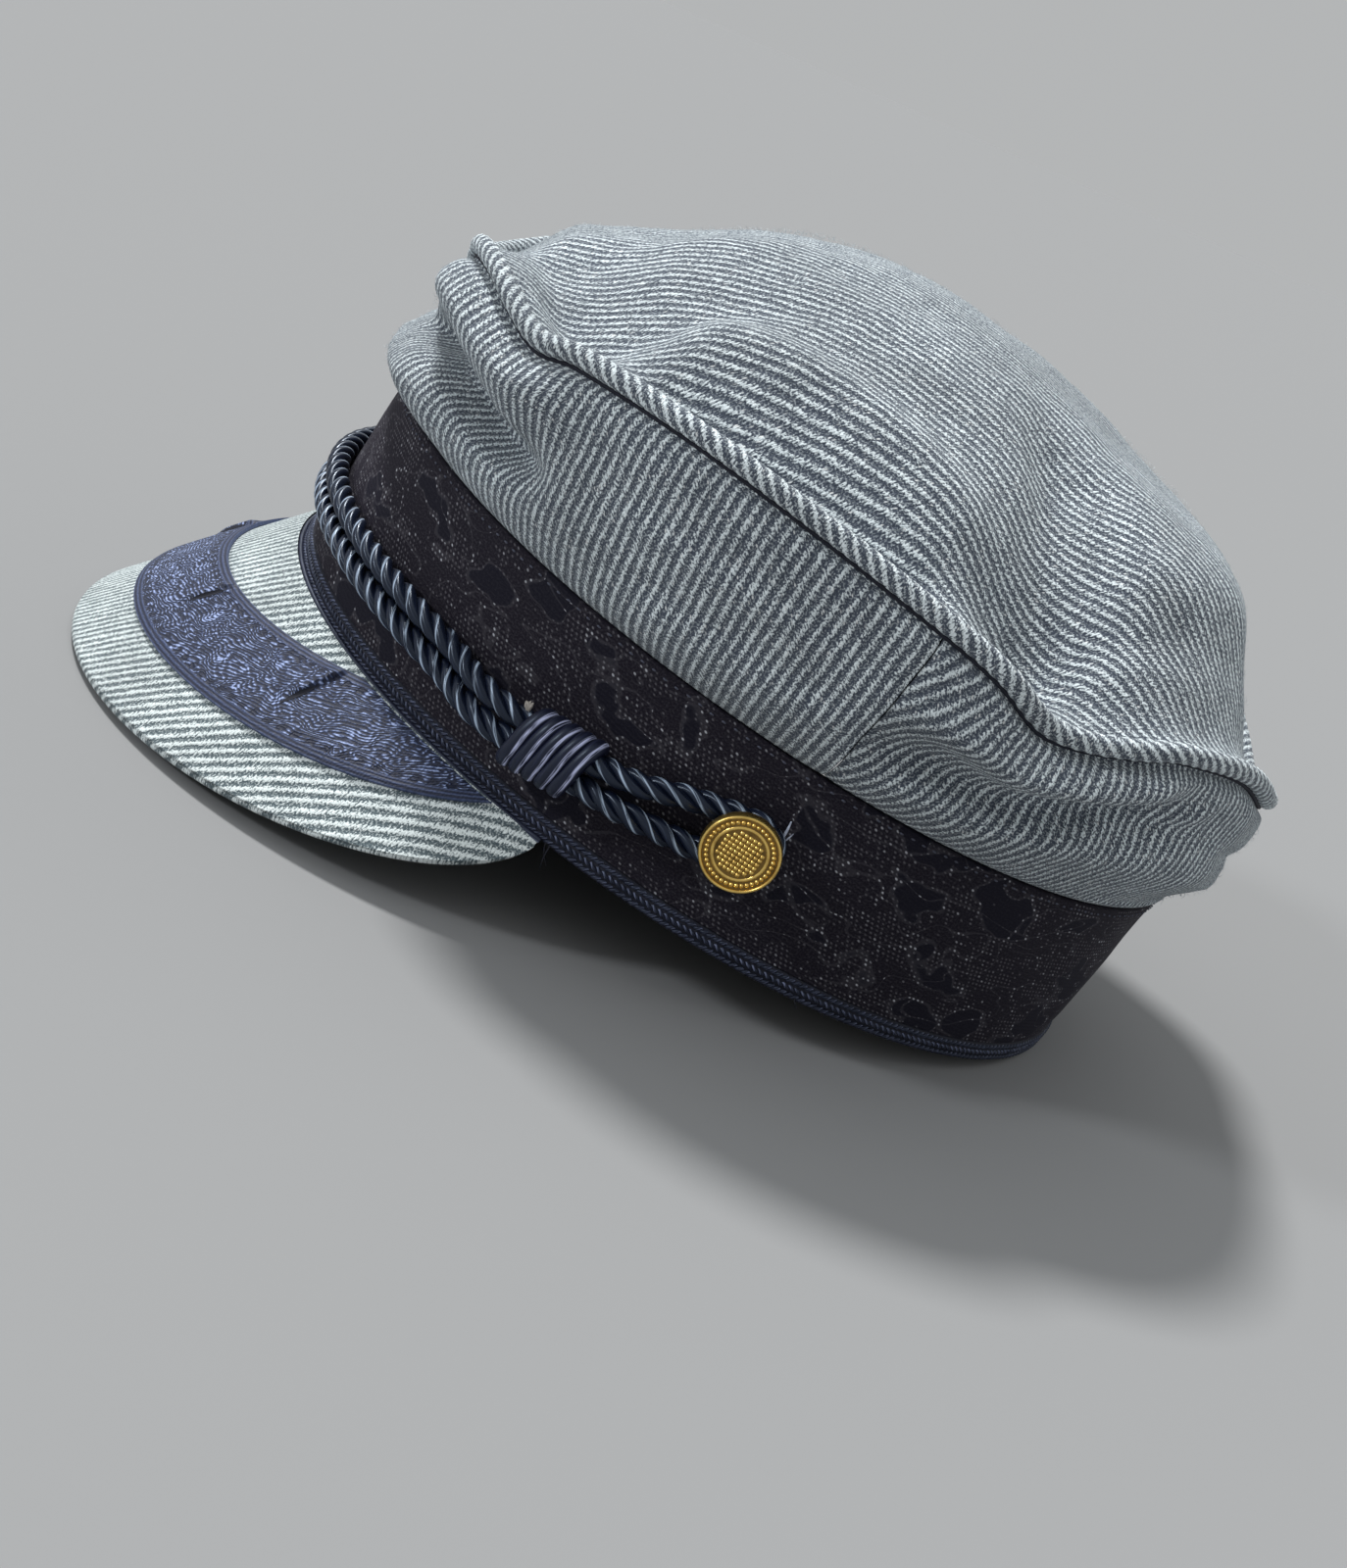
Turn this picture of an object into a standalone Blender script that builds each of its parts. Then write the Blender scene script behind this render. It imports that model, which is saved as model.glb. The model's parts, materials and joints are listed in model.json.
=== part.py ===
"""Fisherman cap: a striped cloth crown with a piped seam, on a dark woven band with a ribbed hem.

A stiff visor carries a pleated ribbon. A doubled cord runs round the front of the band, through
two wound knots, and loops round a brass button at each side.

The cap is modelled in metres on the plane of its own rim: the visor points to -Y, the wearer's
left is +X and the crown is up. One empty then leans it back, so that it lies on a flat surface
as it does by itself, on the visor's edge and the back of the hem.
"""

import math

import bmesh
import bpy
from mathutils import Matrix, Vector

MM = 0.001

# Clear space between pieces that meet
GAP = 0.3 * MM

# Band and hem: the outside of the band is an oval
BAND_HALF_WIDTH = 87.0 * MM
BAND_HALF_LENGTH = 104.7 * MM
BAND_HEIGHT = 44.6 * MM
BAND_SETBACK = 1.3 * MM
BAND_WALL = 2.2 * MM
HEM_HEIGHT = 4.6 * MM
HEM_PROUD = 0.7 * MM
HEM_GROOVE = 0.5 * MM

# Crown cloth
CLOTH_WALL = 1.6 * MM
CROWN_HALF_WIDTH = 103.0 * MM
CROWN_HALF_LENGTH = 109.3 * MM
CROWN_SETBACK = 0.8 * MM
CROWN_SQUARENESS = 2.1
CROWN_SIDE_RISE = 45.0 * MM
CROWN_ROLL = 5.0 * MM
DOME_RISE = 41.0 * MM
DOME_BASE_SHARE = 0.88
PIPING_DIAMETER = 4.2 * MM
SIDE_SEAM_ANGLE = 104.5

# Visor: a cloth-covered board that slopes down from the hem
VISOR_DEPTH = 58.0 * MM
VISOR_BOARD = 2.4 * MM
VISOR_SPAN = 84.0
VISOR_SLOPE_FRONT = 51.0
VISOR_SLOPE_SIDE = 46.0
VISOR_SPLAY = 1.14
VISOR_FULLNESS = 0.68
RIBBON_WIDTH = 23.0 * MM
RIBBON_MARGIN = 16.0 * MM
RIBBON_WALL = 1.0 * MM
PLEAT_RAISE = 0.9 * MM
PLEAT_LENGTH = 6.0 * MM
PLEAT_ANGLES = (-51.0, -23.0, 0.0, 23.0, 51.0)

# Cord, knots and buttons
CORD_DIAMETER = 5.2 * MM
CORD_SPACING = 10.5 * MM
KNOT_LENGTH = 18.0 * MM
KNOT_WRAP = 2.3 * MM
KNOT_TURNS = 6
KNOT_ANGLE = 80.0
KNOT_CLEARANCE = 0.5 * MM
BUTTON_ANGLE = 101.5
BUTTON_HEIGHT = 25.4 * MM
BUTTON_DIAMETER = 16.6 * MM
BUTTON_THICKNESS = 3.4 * MM
BUTTON_SHANK_DIAMETER = 3.4 * MM
BUTTON_FIELD_DEPTH = 0.5 * MM
LOOP_HALF_GAP = BUTTON_SHANK_DIAMETER / 2 + CORD_DIAMETER / 2 + 0.9 * MM

# How finely the pieces are divided
STEPS_AROUND = 72
DOME_RINGS = 9
PIPING_SIDES = 6
KNOT_SIDES = 6
VISOR_COLUMNS = 32
VISOR_ROWS = 5
RIBBON_ROWS = 3
BUTTON_STEPS = 20

# The piped seam: angle from the front, its height as a share of the side's rise, and how far
# it is drawn in, as a share of the crown's half width
SEAM_SECTIONS = (
    (-170, 0.64, 0.000), (-160, 0.72, 0.000), (-150, 0.83, 0.000), (-140, 0.92, 0.000),
    (-120, 0.89, 0.005), (-105, 0.95, 0.000), (-90, 1.00, 0.000), (-70, 0.98, 0.000),
    (-50, 0.91, 0.000), (-30, 0.85, 0.010), (-20, 0.75, 0.025), (-10, 0.68, 0.035),
    (0, 0.66, 0.045), (15, 0.71, 0.060), (25, 0.81, 0.042), (31, 0.90, 0.014),
    (40, 0.925, 0.000), (47, 0.88, 0.000), (54, 0.85, 0.000), (60, 0.92, 0.000),
    (75, 0.995, 0.000), (90, 1.00, 0.000), (105, 0.95, 0.000), (112, 0.90, 0.000),
    (119, 0.80, 0.010), (124, 0.815, 0.008), (130, 0.885, 0.000), (137, 0.96, 0.000),
    (150, 0.96, 0.000), (165, 0.81, 0.000), (180, 0.69, 0.000),
)  # fmt: skip

# Height of the top over its base: share of the way out to the seam, then the share of the
# dome's rise towards the front, the sides and the back
DOME_SECTIONS = (
    (0.00, 1.00, 1.00, 1.00),
    (0.23, 0.97, 0.96, 0.93),
    (0.46, 0.83, 0.84, 0.83),
    (0.62, 0.62, 0.64, 0.76),
    (0.74, 0.42, 0.40, 0.58),
    (0.84, 0.22, 0.15, 0.23),
    (0.92, 0.08, 0.03, 0.05),
    (1.00, 0.00, 0.00, 0.00),
)

# How far the side wall stands out from a straight cone: share of the way up, share of the roll
SIDE_SECTIONS = (
    (0.00, 0.00), (0.06, 0.45), (0.18, 0.85), (0.34, 1.00), (0.50, 0.85), (0.66, 0.70),
    (0.82, 0.55), (0.93, 0.30), (1.00, 0.00),
)  # fmt: skip

# Folds of the side wall: the angle and share of the way up where each starts and ends, its
# height as a share of the side's rise, and its half width as a share of the way up
SIDE_FOLDS = (
    ("front_lower_roll", -50, 0.10, 55, 0.12, 0.05, 0.10),
    ("front_groove", -45, 0.60, 66, 0.44, -0.05, 0.14),
    ("near_front_groove", 18, 0.50, 68, 0.40, -0.17, 0.12),
    ("near_front_roll", 24, 0.78, 66, 0.74, 0.06, 0.15),
    ("rear_lip", 104, 0.62, 142, 0.93, 0.11, 0.12),
    ("rear_groove", 100, 0.30, 146, 0.72, -0.14, 0.14),
    ("rear_crease", 128, 0.42, 148, 0.88, 0.04, 0.08),
    ("rear_middle_roll", 120, 0.40, 165, 0.50, 0.05, 0.16),
    ("rear_lower_tuck", 125, 0.14, 235, 0.14, -0.05, 0.14),
    ("far_groove", 206, 0.46, 258, 0.40, -0.08, 0.16),
    ("far_front_groove", 300, 0.46, 346, 0.42, -0.07, 0.15),
)

# Folds of the top: start and end as shares of the crown's half width and half length, then the
# height as a share of the dome's rise and the half width as a share of the crown's half width
TOP_FOLDS = (
    ("side_valley", 0.80, -0.42, 0.88, 0.22, -0.10, 0.10),
    ("front_dent", 0.72, -0.56, 0.46, -0.60, -0.12, 0.13),
    ("front_ridge", 0.60, -0.44, 0.34, -0.10, 0.06, 0.12),
    ("rear_valley", 0.84, 0.42, 0.46, 0.30, -0.16, 0.12),
    ("rear_shelf", 0.66, 0.66, 0.30, 0.78, 0.14, 0.16),
    ("side_ridge", 0.64, -0.10, 0.60, 0.28, 0.08, 0.14),
    ("far_valley", -0.84, 0.30, -0.60, 0.44, -0.08, 0.14),
    ("far_front_dent", -0.62, -0.62, -0.46, -0.48, -0.06, 0.14),
)

# The doubled cord's own line up to the button: angle from the front, height of the middle
# between its two strands, and half of the distance between them
CORD_ROUTE = (
    (0, 17.2 * MM, 2.75 * MM),
    (20, 17.2 * MM, 2.75 * MM),
    (40, 17.3 * MM, 2.75 * MM),
    (60, 17.4 * MM, 2.75 * MM),
    (70, 17.0 * MM, 2.75 * MM),
    (75, 17.3 * MM, 2.75 * MM),
    (80, 18.6 * MM, 2.75 * MM),
    (86, 20.0 * MM, 2.85 * MM),
    (90, 21.2 * MM, 3.60 * MM),
    (94, 22.6 * MM, 4.50 * MM),
    (97, 23.7 * MM, 5.00 * MM),
    (BUTTON_ANGLE, BUTTON_HEIGHT, LOOP_HALF_GAP),
)

# Colours as they look in daylight, with roughness and metallic value
MATERIALS = {
    "striped_cloth": ((0.36, 0.43, 0.52), 0.9, 0.0),
    "band_cloth": ((0.025, 0.027, 0.055), 0.75, 0.0),
    "ribbon_cloth": ((0.06, 0.08, 0.20), 0.7, 0.0),
    "cord_satin": ((0.05, 0.07, 0.15), 0.35, 0.0),
    "brass": ((0.78, 0.56, 0.16), 0.3, 1.0),
}


def oval(angle, half_width, half_length, centre_y=0.0, squareness=2.0):
    """The point of an upright oval at an angle in degrees, from the front towards +X."""
    s, c = math.sin(math.radians(angle)), math.cos(math.radians(angle))
    power = 2.0 / squareness
    x = half_width * math.copysign(abs(s) ** power, s)
    y = centre_y - half_length * math.copysign(abs(c) ** power, c)
    return Vector((x, y, 0.0))


def outward(angle):
    """The level direction that points out of the band at an angle."""
    s, c = math.sin(math.radians(angle)), math.cos(math.radians(angle))
    return Vector((s / BAND_HALF_WIDTH, -c / BAND_HALF_LENGTH, 0.0)).normalized()


def band_point(angle, proud, height):
    """A point at a distance out from the band's outside."""
    setback = BAND_SETBACK * height / BAND_HEIGHT
    point = oval(angle, BAND_HALF_WIDTH + proud, BAND_HALF_LENGTH + proud, setback)
    point.z = height
    return point


def curve_through(rows, at, column=1):
    """The smooth curve through a table's rows, by cubic pieces with the neighbours' slopes."""
    k = max(i for i, row in enumerate(rows[:-1]) if at >= row[0] or i == 0)
    x0, x1 = rows[k][0], rows[k + 1][0]
    y0, y1 = rows[k][column], rows[k + 1][column]
    before, after = rows[max(k - 1, 0)], rows[min(k + 2, len(rows) - 1)]
    slope0 = (y1 - before[column]) / (x1 - before[0])
    slope1 = (after[column] - y0) / (after[0] - x0)
    t = min(max((at - x0) / (x1 - x0), 0.0), 1.0)
    span = x1 - x0
    return (
        y0 * (2 * t**3 - 3 * t**2 + 1)
        + slope0 * span * (t**3 - 2 * t**2 + t)
        + y1 * (3 * t**2 - 2 * t**3)
        + slope1 * span * (t**3 - t**2)
    )


def seam_share(angle, column):
    """One column of the seam's table at an angle. The table closes on itself."""
    angle = (angle + 180.0) % 360.0 - 180.0
    before = [(row[0] - 360, *row[1:]) for row in SEAM_SECTIONS[-2:]]
    after = [(row[0] + 360, *row[1:]) for row in SEAM_SECTIONS[:2]]
    return curve_through([*before, *SEAM_SECTIONS, *after], angle, column)


def seam_height(angle):
    """Height of the piping's centre at an angle."""
    return BAND_HEIGHT + CROWN_SIDE_RISE * seam_share(angle, 1)


def seam_point(angle, inset=0.0, drop=0.0):
    """A point beside the piping's centre line, inset towards the middle and dropped below."""
    inset += CROWN_HALF_WIDTH * seam_share(angle, 2)
    point = oval(
        angle,
        CROWN_HALF_WIDTH - inset,
        CROWN_HALF_LENGTH - inset,
        CROWN_SETBACK,
        CROWN_SQUARENESS,
    )
    point.z = seam_height(angle) - drop
    return point


def bell(distance):
    """A smooth hump of height 1 at no distance."""
    return math.exp(-distance * distance)


def ease(t):
    """0 up to 1, with level ends."""
    t = min(max(t, 0.0), 1.0)
    return t * t * (3 - 2 * t)


def side_fold(angle, up):
    """How far the folds move the side wall outwards, as a share of its rise."""
    total = 0.0
    for _, angle0, up0, angle1, up1, height, width in SIDE_FOLDS:
        for turn in (angle - 360.0, angle, angle + 360.0):
            along = (turn - angle0) / (angle1 - angle0)
            if 0.0 < along < 1.0:
                ends = ease(along * 4) * ease((1 - along) * 4)
                line = up0 + (up1 - up0) * along
                total += height * ends * bell((up - line) / width)
    return total * ease(up * 12) * ease((1 - up) * 12)


def side_point(angle, up):
    """The outside of the crown's side wall, a share of the way up from band to piping."""
    tuck = CLOTH_WALL / 2
    low = band_point(angle, tuck - BAND_WALL / 2, BAND_HEIGHT + GAP)
    drop = PIPING_DIAMETER / 2 + GAP
    high = seam_point(angle, -tuck, drop)
    stand = CROWN_ROLL * curve_through(SIDE_SECTIONS, up)
    stand += CROWN_SIDE_RISE * side_fold(angle, up)
    return low.lerp(high, up) + outward(angle) * stand


def top_fold(x, y):
    """How far the folds lift the top at a place, as a share of the dome's rise."""
    total = 0.0
    here = Vector((x / CROWN_HALF_WIDTH, y / CROWN_HALF_LENGTH))
    for _, x0, y0, x1, y1, height, width in TOP_FOLDS:
        start, line = Vector((x0, y0)), Vector((x1 - x0, y1 - y0))
        along = (here - start).dot(line) / line.length_squared
        nearest = start + line * min(max(along, 0.0), 1.0)
        total += height * bell((here - nearest).length / width)
    return total


def top_point(angle, out):
    """The outside of the crown's top, a share of the way out from its middle to the piping."""
    point = seam_point(angle, PIPING_DIAMETER / 2 + GAP)
    x = point.x * out
    y = CROWN_SETBACK + (point.y - CROWN_SETBACK) * out
    forward = math.cos(math.radians(angle))
    end_column = 1 if forward > 0 else 3
    to_end = curve_through(DOME_SECTIONS, out, end_column)
    to_side = curve_through(DOME_SECTIONS, out, 2)
    dome = to_side + (to_end - to_side) * forward * forward
    base = BAND_HEIGHT + CROWN_SIDE_RISE * DOME_BASE_SHARE
    rim = base + (seam_height(angle) + CLOTH_WALL / 2 - base) * out**3
    fold = top_fold(x, y - CROWN_SETBACK) * ease((1 - out) * 8)
    return Vector((x, y, rim + DOME_RISE * (dome + fold)))


def visor_reach(angle):
    """How far the visor runs out from the hem at an angle."""
    return VISOR_DEPTH * (1 - (angle / VISOR_SPAN) ** 2) ** VISOR_FULLNESS


def visor_point(angle, along, lift=0.0):
    """The visor's upper face, a share of the way from the hem to its edge, or lifted off it."""
    share = (angle / VISOR_SPAN) ** 2
    slope = math.radians(
        VISOR_SLOPE_FRONT + (VISOR_SLOPE_SIDE - VISOR_SLOPE_FRONT) * share
    )
    turn = math.radians(VISOR_SPLAY * angle)
    level = Vector((math.sin(turn), -math.cos(turn), 0.0))
    start = band_point(angle, HEM_PROUD + GAP, -GAP)
    down = level * math.cos(slope) - Vector((0, 0, math.sin(slope)))
    up = level * math.sin(slope) + Vector((0, 0, math.cos(slope)))
    lift += VISOR_BOARD / 2
    return start + down * (visor_reach(angle) * along) + up * lift


def material_named(name):
    """A plain material from the table above."""
    found = bpy.data.materials.get(name)
    if found:
        return found
    colour, roughness, metallic = MATERIALS[name]
    made = bpy.data.materials.new(name)
    made.use_nodes = True
    shader = made.node_tree.nodes["Principled BSDF"]
    shader.inputs["Base Color"].default_value = (*colour, 1.0)
    shader.inputs["Roughness"].default_value = roughness
    shader.inputs["Metallic"].default_value = metallic
    return made


def add_object(name, data, material, cap):
    """Links an object, gives it its material and hangs it on the cap's empty."""
    made = bpy.data.objects.new(name, data)
    bpy.context.scene.collection.objects.link(made)
    data.materials.append(material_named(material))
    made.parent = cap
    return made


def grid_mesh(name, rows, closed_rows=False, closed_columns=False, pole=None):
    """A mesh through rows of points. A pole joins the last row to one point."""
    mesh = bpy.data.meshes.new(name)
    shape = bmesh.new()
    points = [[shape.verts.new(p) for p in row] for row in rows]
    count, width = len(points), len(points[0])
    for i in range(count if closed_columns else count - 1):
        here, after = points[i], points[(i + 1) % count]
        for j in range(width if closed_rows else width - 1):
            k = (j + 1) % width
            shape.faces.new((here[j], here[k], after[k], after[j]))
    if pole is not None:
        tip = shape.verts.new(pole)
        for j in range(width):
            shape.faces.new((points[-1][j], points[-1][(j + 1) % width], tip))
    if closed_rows and closed_columns:
        bmesh.ops.recalc_face_normals(shape, faces=shape.faces)
    shape.normal_update()
    shape.to_mesh(mesh)
    shape.free()
    mesh.shade_smooth()
    return mesh


def solidify(obj, wall):
    """Gives a sheet its wall, on the side away from its faces."""
    modifier = obj.modifiers.new("wall", "SOLIDIFY")
    modifier.thickness = wall
    modifier.offset = -1.0


def angles_around(count=STEPS_AROUND):
    """Even angles for a closed ring."""
    return [360.0 * i / count for i in range(count)]


def make_band(cap):
    """The band's wall, from the hem up to the crown."""
    low, high = HEM_HEIGHT + GAP, BAND_HEIGHT
    profile = ((0.0, low), (0.0, high), (-BAND_WALL, high), (-BAND_WALL, low))
    rows = [[band_point(a, p, z) for p, z in profile] for a in angles_around()]
    mesh = grid_mesh("headband", rows, closed_rows=True, closed_columns=True)
    add_object("headband", mesh, "band_cloth", cap)


def make_hem(cap):
    """The turned lower edge: two ribs with a groove between them, flat below."""
    profile = (
        (-BAND_WALL, 0.0),
        (HEM_PROUD, 0.0),
        (HEM_PROUD, HEM_HEIGHT * 0.42),
        (HEM_PROUD - HEM_GROOVE, HEM_HEIGHT * 0.52),
        (HEM_PROUD, HEM_HEIGHT * 0.62),
        (HEM_PROUD, HEM_HEIGHT),
        (-BAND_WALL, HEM_HEIGHT),
    )
    rows = [[band_point(a, p, z) for p, z in profile] for a in angles_around()]
    mesh = grid_mesh("headband_hem", rows, closed_rows=True, closed_columns=True)
    add_object("headband_hem", mesh, "band_cloth", cap)


def make_side_panel(name, angle0, angle1, cap):
    """One panel of the crown's side wall, between its two seams."""
    half_gap = math.degrees(GAP / 2 / CROWN_HALF_WIDTH)
    angle0, angle1 = angle0 + half_gap, angle1 - half_gap
    columns = max(2, round(STEPS_AROUND * (angle1 - angle0) / 360.0))
    angles = [angle0 + (angle1 - angle0) * i / columns for i in range(columns + 1)]
    ups = [row[0] for row in SIDE_SECTIONS]
    rows = [[side_point(a, up) for a in angles] for up in ups]
    panel = add_object(name, grid_mesh(name, rows), "striped_cloth", cap)
    solidify(panel, CLOTH_WALL)


def make_crown_top(cap):
    """The domed top, from the piping to its middle."""
    outs = [math.sin(math.pi / 2 * (1 - i / DOME_RINGS)) for i in range(DOME_RINGS)]
    rows = [[top_point(a, out) for a in angles_around()] for out in outs]
    pole = top_point(0.0, 0.0)
    mesh = grid_mesh("crown_top", rows, closed_rows=True, pole=pole)
    top = add_object("crown_top", mesh, "striped_cloth", cap)
    solidify(top, CLOTH_WALL)


def make_piping(cap):
    """The round piping in the seam between the side wall and the top."""
    radius = PIPING_DIAMETER / 2
    rows = []
    for angle in angles_around():
        row = []
        for i in range(PIPING_SIDES):
            turn = 2 * math.pi * i / PIPING_SIDES
            centre = seam_point(angle)
            side = outward(angle) * (radius * math.cos(turn))
            row.append(centre + side + Vector((0, 0, radius * math.sin(turn))))
        rows.append(row)
    mesh = grid_mesh("crown_piping", rows, closed_rows=True, closed_columns=True)
    add_object("crown_piping", mesh, "striped_cloth", cap)


def visor_angles(limit):
    """Angles across the visor, closer together towards its two ends."""
    steps = [math.sin(math.pi * (i / VISOR_COLUMNS - 0.5)) for i in range(VISOR_COLUMNS + 1)]
    return [limit * step for step in steps]


def make_visor(cap):
    """The stiff visor, tapering to a point at each side."""
    angles = visor_angles(VISOR_SPAN * 0.9975)
    shares = [i / VISOR_ROWS for i in range(VISOR_ROWS + 1)]
    rows = [[visor_point(a, share) for a in angles] for share in reversed(shares)]
    visor = add_object("visor", grid_mesh("visor", rows), "striped_cloth", cap)
    solidify(visor, VISOR_BOARD)


def pleat_lift(angle, along):
    """How far a pleat lifts the ribbon: a low lap beside each fold, less towards the edge."""
    total = 0.0
    for pleat in PLEAT_ANGLES:
        arc = math.radians(angle - pleat) * BAND_HALF_LENGTH
        if 0.0 <= arc < PLEAT_LENGTH:
            total += PLEAT_RAISE * (1 - arc / PLEAT_LENGTH) * (1 - along)
    return total


def ribbon_limit():
    """The angle where the ribbon runs out against the hem."""
    least = RIBBON_MARGIN * 1.25
    share = 1 - (least / VISOR_DEPTH) ** (1 / VISOR_FULLNESS)
    return VISOR_SPAN * math.sqrt(share)


def make_visor_ribbon(cap):
    """The ribbon laid round the visor, a margin in from its edge, with its pleats."""
    limit = ribbon_limit()
    inner_start = 0.6 * MM
    rows = [[] for _ in range(RIBBON_ROWS + 1)]
    angles = sorted(
        visor_angles(limit) + [p + side for p in PLEAT_ANGLES for side in (-0.2, 0.2)]
    )
    for angle in angles:
        reach = visor_reach(angle)
        outer = 1 - RIBBON_MARGIN / reach
        inner = max(
            1 - (RIBBON_MARGIN + RIBBON_WIDTH) / reach, inner_start / reach
        )
        for i, row in enumerate(rows):
            along = i / RIBBON_ROWS
            lift = GAP + RIBBON_WALL + pleat_lift(angle, along)
            row.append(visor_point(angle, inner + (outer - inner) * along, lift))
    rows.reverse()
    mesh = grid_mesh("visor_ribbon", rows)
    ribbon = add_object("visor_ribbon", mesh, "ribbon_cloth", cap)
    solidify(ribbon, RIBBON_WALL)


def cord_stand(angle):
    """How far the cord's centre stands out from the band: more where it enters a knot."""
    rest = CORD_DIAMETER / 2 + GAP
    raised = rest + KNOT_WRAP + KNOT_CLEARANCE
    from_knot = math.radians(abs(abs(angle) - KNOT_ANGLE)) * BAND_HALF_LENGTH
    near = ease((KNOT_LENGTH + CORD_SPACING - from_knot) / (KNOT_LENGTH / 2))
    return rest + (raised - rest) * near


def cord_middle(angle):
    """The middle between the two strands at an angle, and half the distance between them."""
    away = abs(angle)
    height = curve_through(CORD_ROUTE, away, 1)
    half_gap = curve_through(CORD_ROUTE, away, 2)
    return band_point(angle, cord_stand(angle), height), half_gap


def cord_point(angle, side):
    """The centre of the upper strand, side 1, or of the lower one, side -1."""
    middle, half_gap = cord_middle(angle)
    return middle + Vector((0, 0, side * half_gap))


def button_loop(side):
    """Points of the cord's half turn round a button's shank, from the upper strand down."""
    last_angle, last_height, half_gap = CORD_ROUTE[-1]
    points = []
    for i in range(1, 8):
        turn = math.pi / 2 - math.pi * i / 8
        reach = half_gap * math.cos(turn) / BAND_HALF_WIDTH
        angle = side * (last_angle + math.degrees(reach))
        height = last_height + half_gap * math.sin(turn)
        points.append(band_point(angle, cord_stand(angle), height))
    return points


def cord_points():
    """The closed line of the whole cord: upper strand, loop, lower strand, loop."""
    end = CORD_ROUTE[-1][0]
    arc = math.radians(2 * end) * (BAND_HALF_WIDTH + BAND_HALF_LENGTH) / 2
    count = round(arc / CORD_SPACING)
    angles = [end - 2 * end * i / count for i in range(count + 1)]
    upper = [cord_point(-a, 1) for a in angles]
    lower = [cord_point(a, -1) for a in angles]
    left, right = button_loop(1), button_loop(-1)
    return [*upper, *left, *lower, *reversed(right)]


def make_cord(cap):
    """The doubled cord, one closed tube."""
    line = bpy.data.curves.new("cord", "CURVE")
    line.dimensions = "3D"
    line.bevel_depth = CORD_DIAMETER / 2
    line.bevel_resolution = 2
    points = cord_points()
    spline = line.splines.new("POLY")
    spline.points.add(len(points) - 1)
    for held, place in zip(spline.points, points):
        held.co = (*place, 1.0)
    spline.use_cyclic_u = True
    add_object("cord", line, "cord_satin", cap)


def knot_row(centre, half_gap, across, wrap):
    """One row of a knot: a slot-shaped loop round both strands, at a distance from them."""
    reach = CORD_DIAMETER / 2 + wrap
    row = []
    for side in (1, -1):
        for i in range(KNOT_SIDES):
            turn = math.pi * i / (KNOT_SIDES - 1)
            rise = side * (half_gap + reach * math.sin(turn))
            row.append(centre + across * (side * reach * math.cos(turn)) + Vector((0, 0, rise)))
    return row


def make_knot(name, side, cap):
    """A wound knot: turns of cord round the two strands, which run through its hole."""
    half_angle = math.degrees(KNOT_LENGTH / 2 / BAND_HALF_LENGTH)
    steps = KNOT_TURNS * 2
    sections = []
    for i in range(steps + 1):
        wrap = KNOT_WRAP if i % 2 else KNOT_WRAP * 0.62
        sections.append((i / steps, wrap))
    inner = [(1 - i / 3, KNOT_CLEARANCE) for i in range(4)]
    rows = []
    for share, wrap in sections + inner:
        angle = side * (KNOT_ANGLE + half_angle * (2 * share - 1))
        centre, half_gap = cord_middle(angle)
        rows.append(knot_row(centre, half_gap, outward(angle), wrap))
    if side > 0:
        rows.reverse()
    mesh = grid_mesh(name, rows, closed_rows=True, closed_columns=True)
    add_object(name, mesh, "cord_satin", cap)


def make_button(name, side, cap):
    """A turned brass button with a raised rim, on a shank that reaches the band."""
    radius = BUTTON_DIAMETER / 2
    shank = BUTTON_SHANK_DIAMETER / 2
    back = CORD_DIAMETER + 2 * GAP
    front = back + BUTTON_THICKNESS
    profile = (
        (shank, 0.0),
        (shank, back),
        (radius * 0.90, back),
        (radius, back + BUTTON_THICKNESS * 0.35),
        (radius, back + BUTTON_THICKNESS * 0.65),
        (radius * 0.95, front - BUTTON_FIELD_DEPTH),
        (radius * 0.90, front - BUTTON_FIELD_DEPTH / 2),
        (radius * 0.84, front - BUTTON_FIELD_DEPTH * 1.6),
        (radius * 0.45, front - BUTTON_FIELD_DEPTH * 0.3),
    )
    angle = side * BUTTON_ANGLE
    axis = outward(angle)
    seat = band_point(angle, GAP, BUTTON_HEIGHT)
    across = axis.cross(Vector((0, 0, 1)))
    place = Matrix((across, Vector((0, 0, 1)), axis)).transposed()
    rows = []
    for r, h in profile:
        turns = [2 * math.pi * i / BUTTON_STEPS for i in range(BUTTON_STEPS)]
        rows.append(
            [seat + place @ Vector((r * math.cos(t), r * math.sin(t), h)) for t in turns]
        )
    mesh = grid_mesh(name, rows, closed_rows=True, pole=seat + axis * front)
    cap_back(mesh, BUTTON_STEPS)
    add_object(name, mesh, "brass", cap)


def cap_back(mesh, count):
    """Closes the first row of a turned shape with one flat face."""
    shape = bmesh.new()
    shape.from_mesh(mesh)
    shape.verts.ensure_lookup_table()
    shape.faces.new([shape.verts[i] for i in reversed(range(count))])
    bmesh.ops.recalc_face_normals(shape, faces=shape.faces)
    shape.to_mesh(mesh)
    shape.free()


def evaluated_points(obj):
    """An object's points in world space, with its modifiers."""
    found = obj.evaluated_get(bpy.context.evaluated_depsgraph_get())
    mesh = found.to_mesh()
    points = [found.matrix_world @ vertex.co for vertex in mesh.vertices]
    found.to_mesh_clear()
    return points


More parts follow.
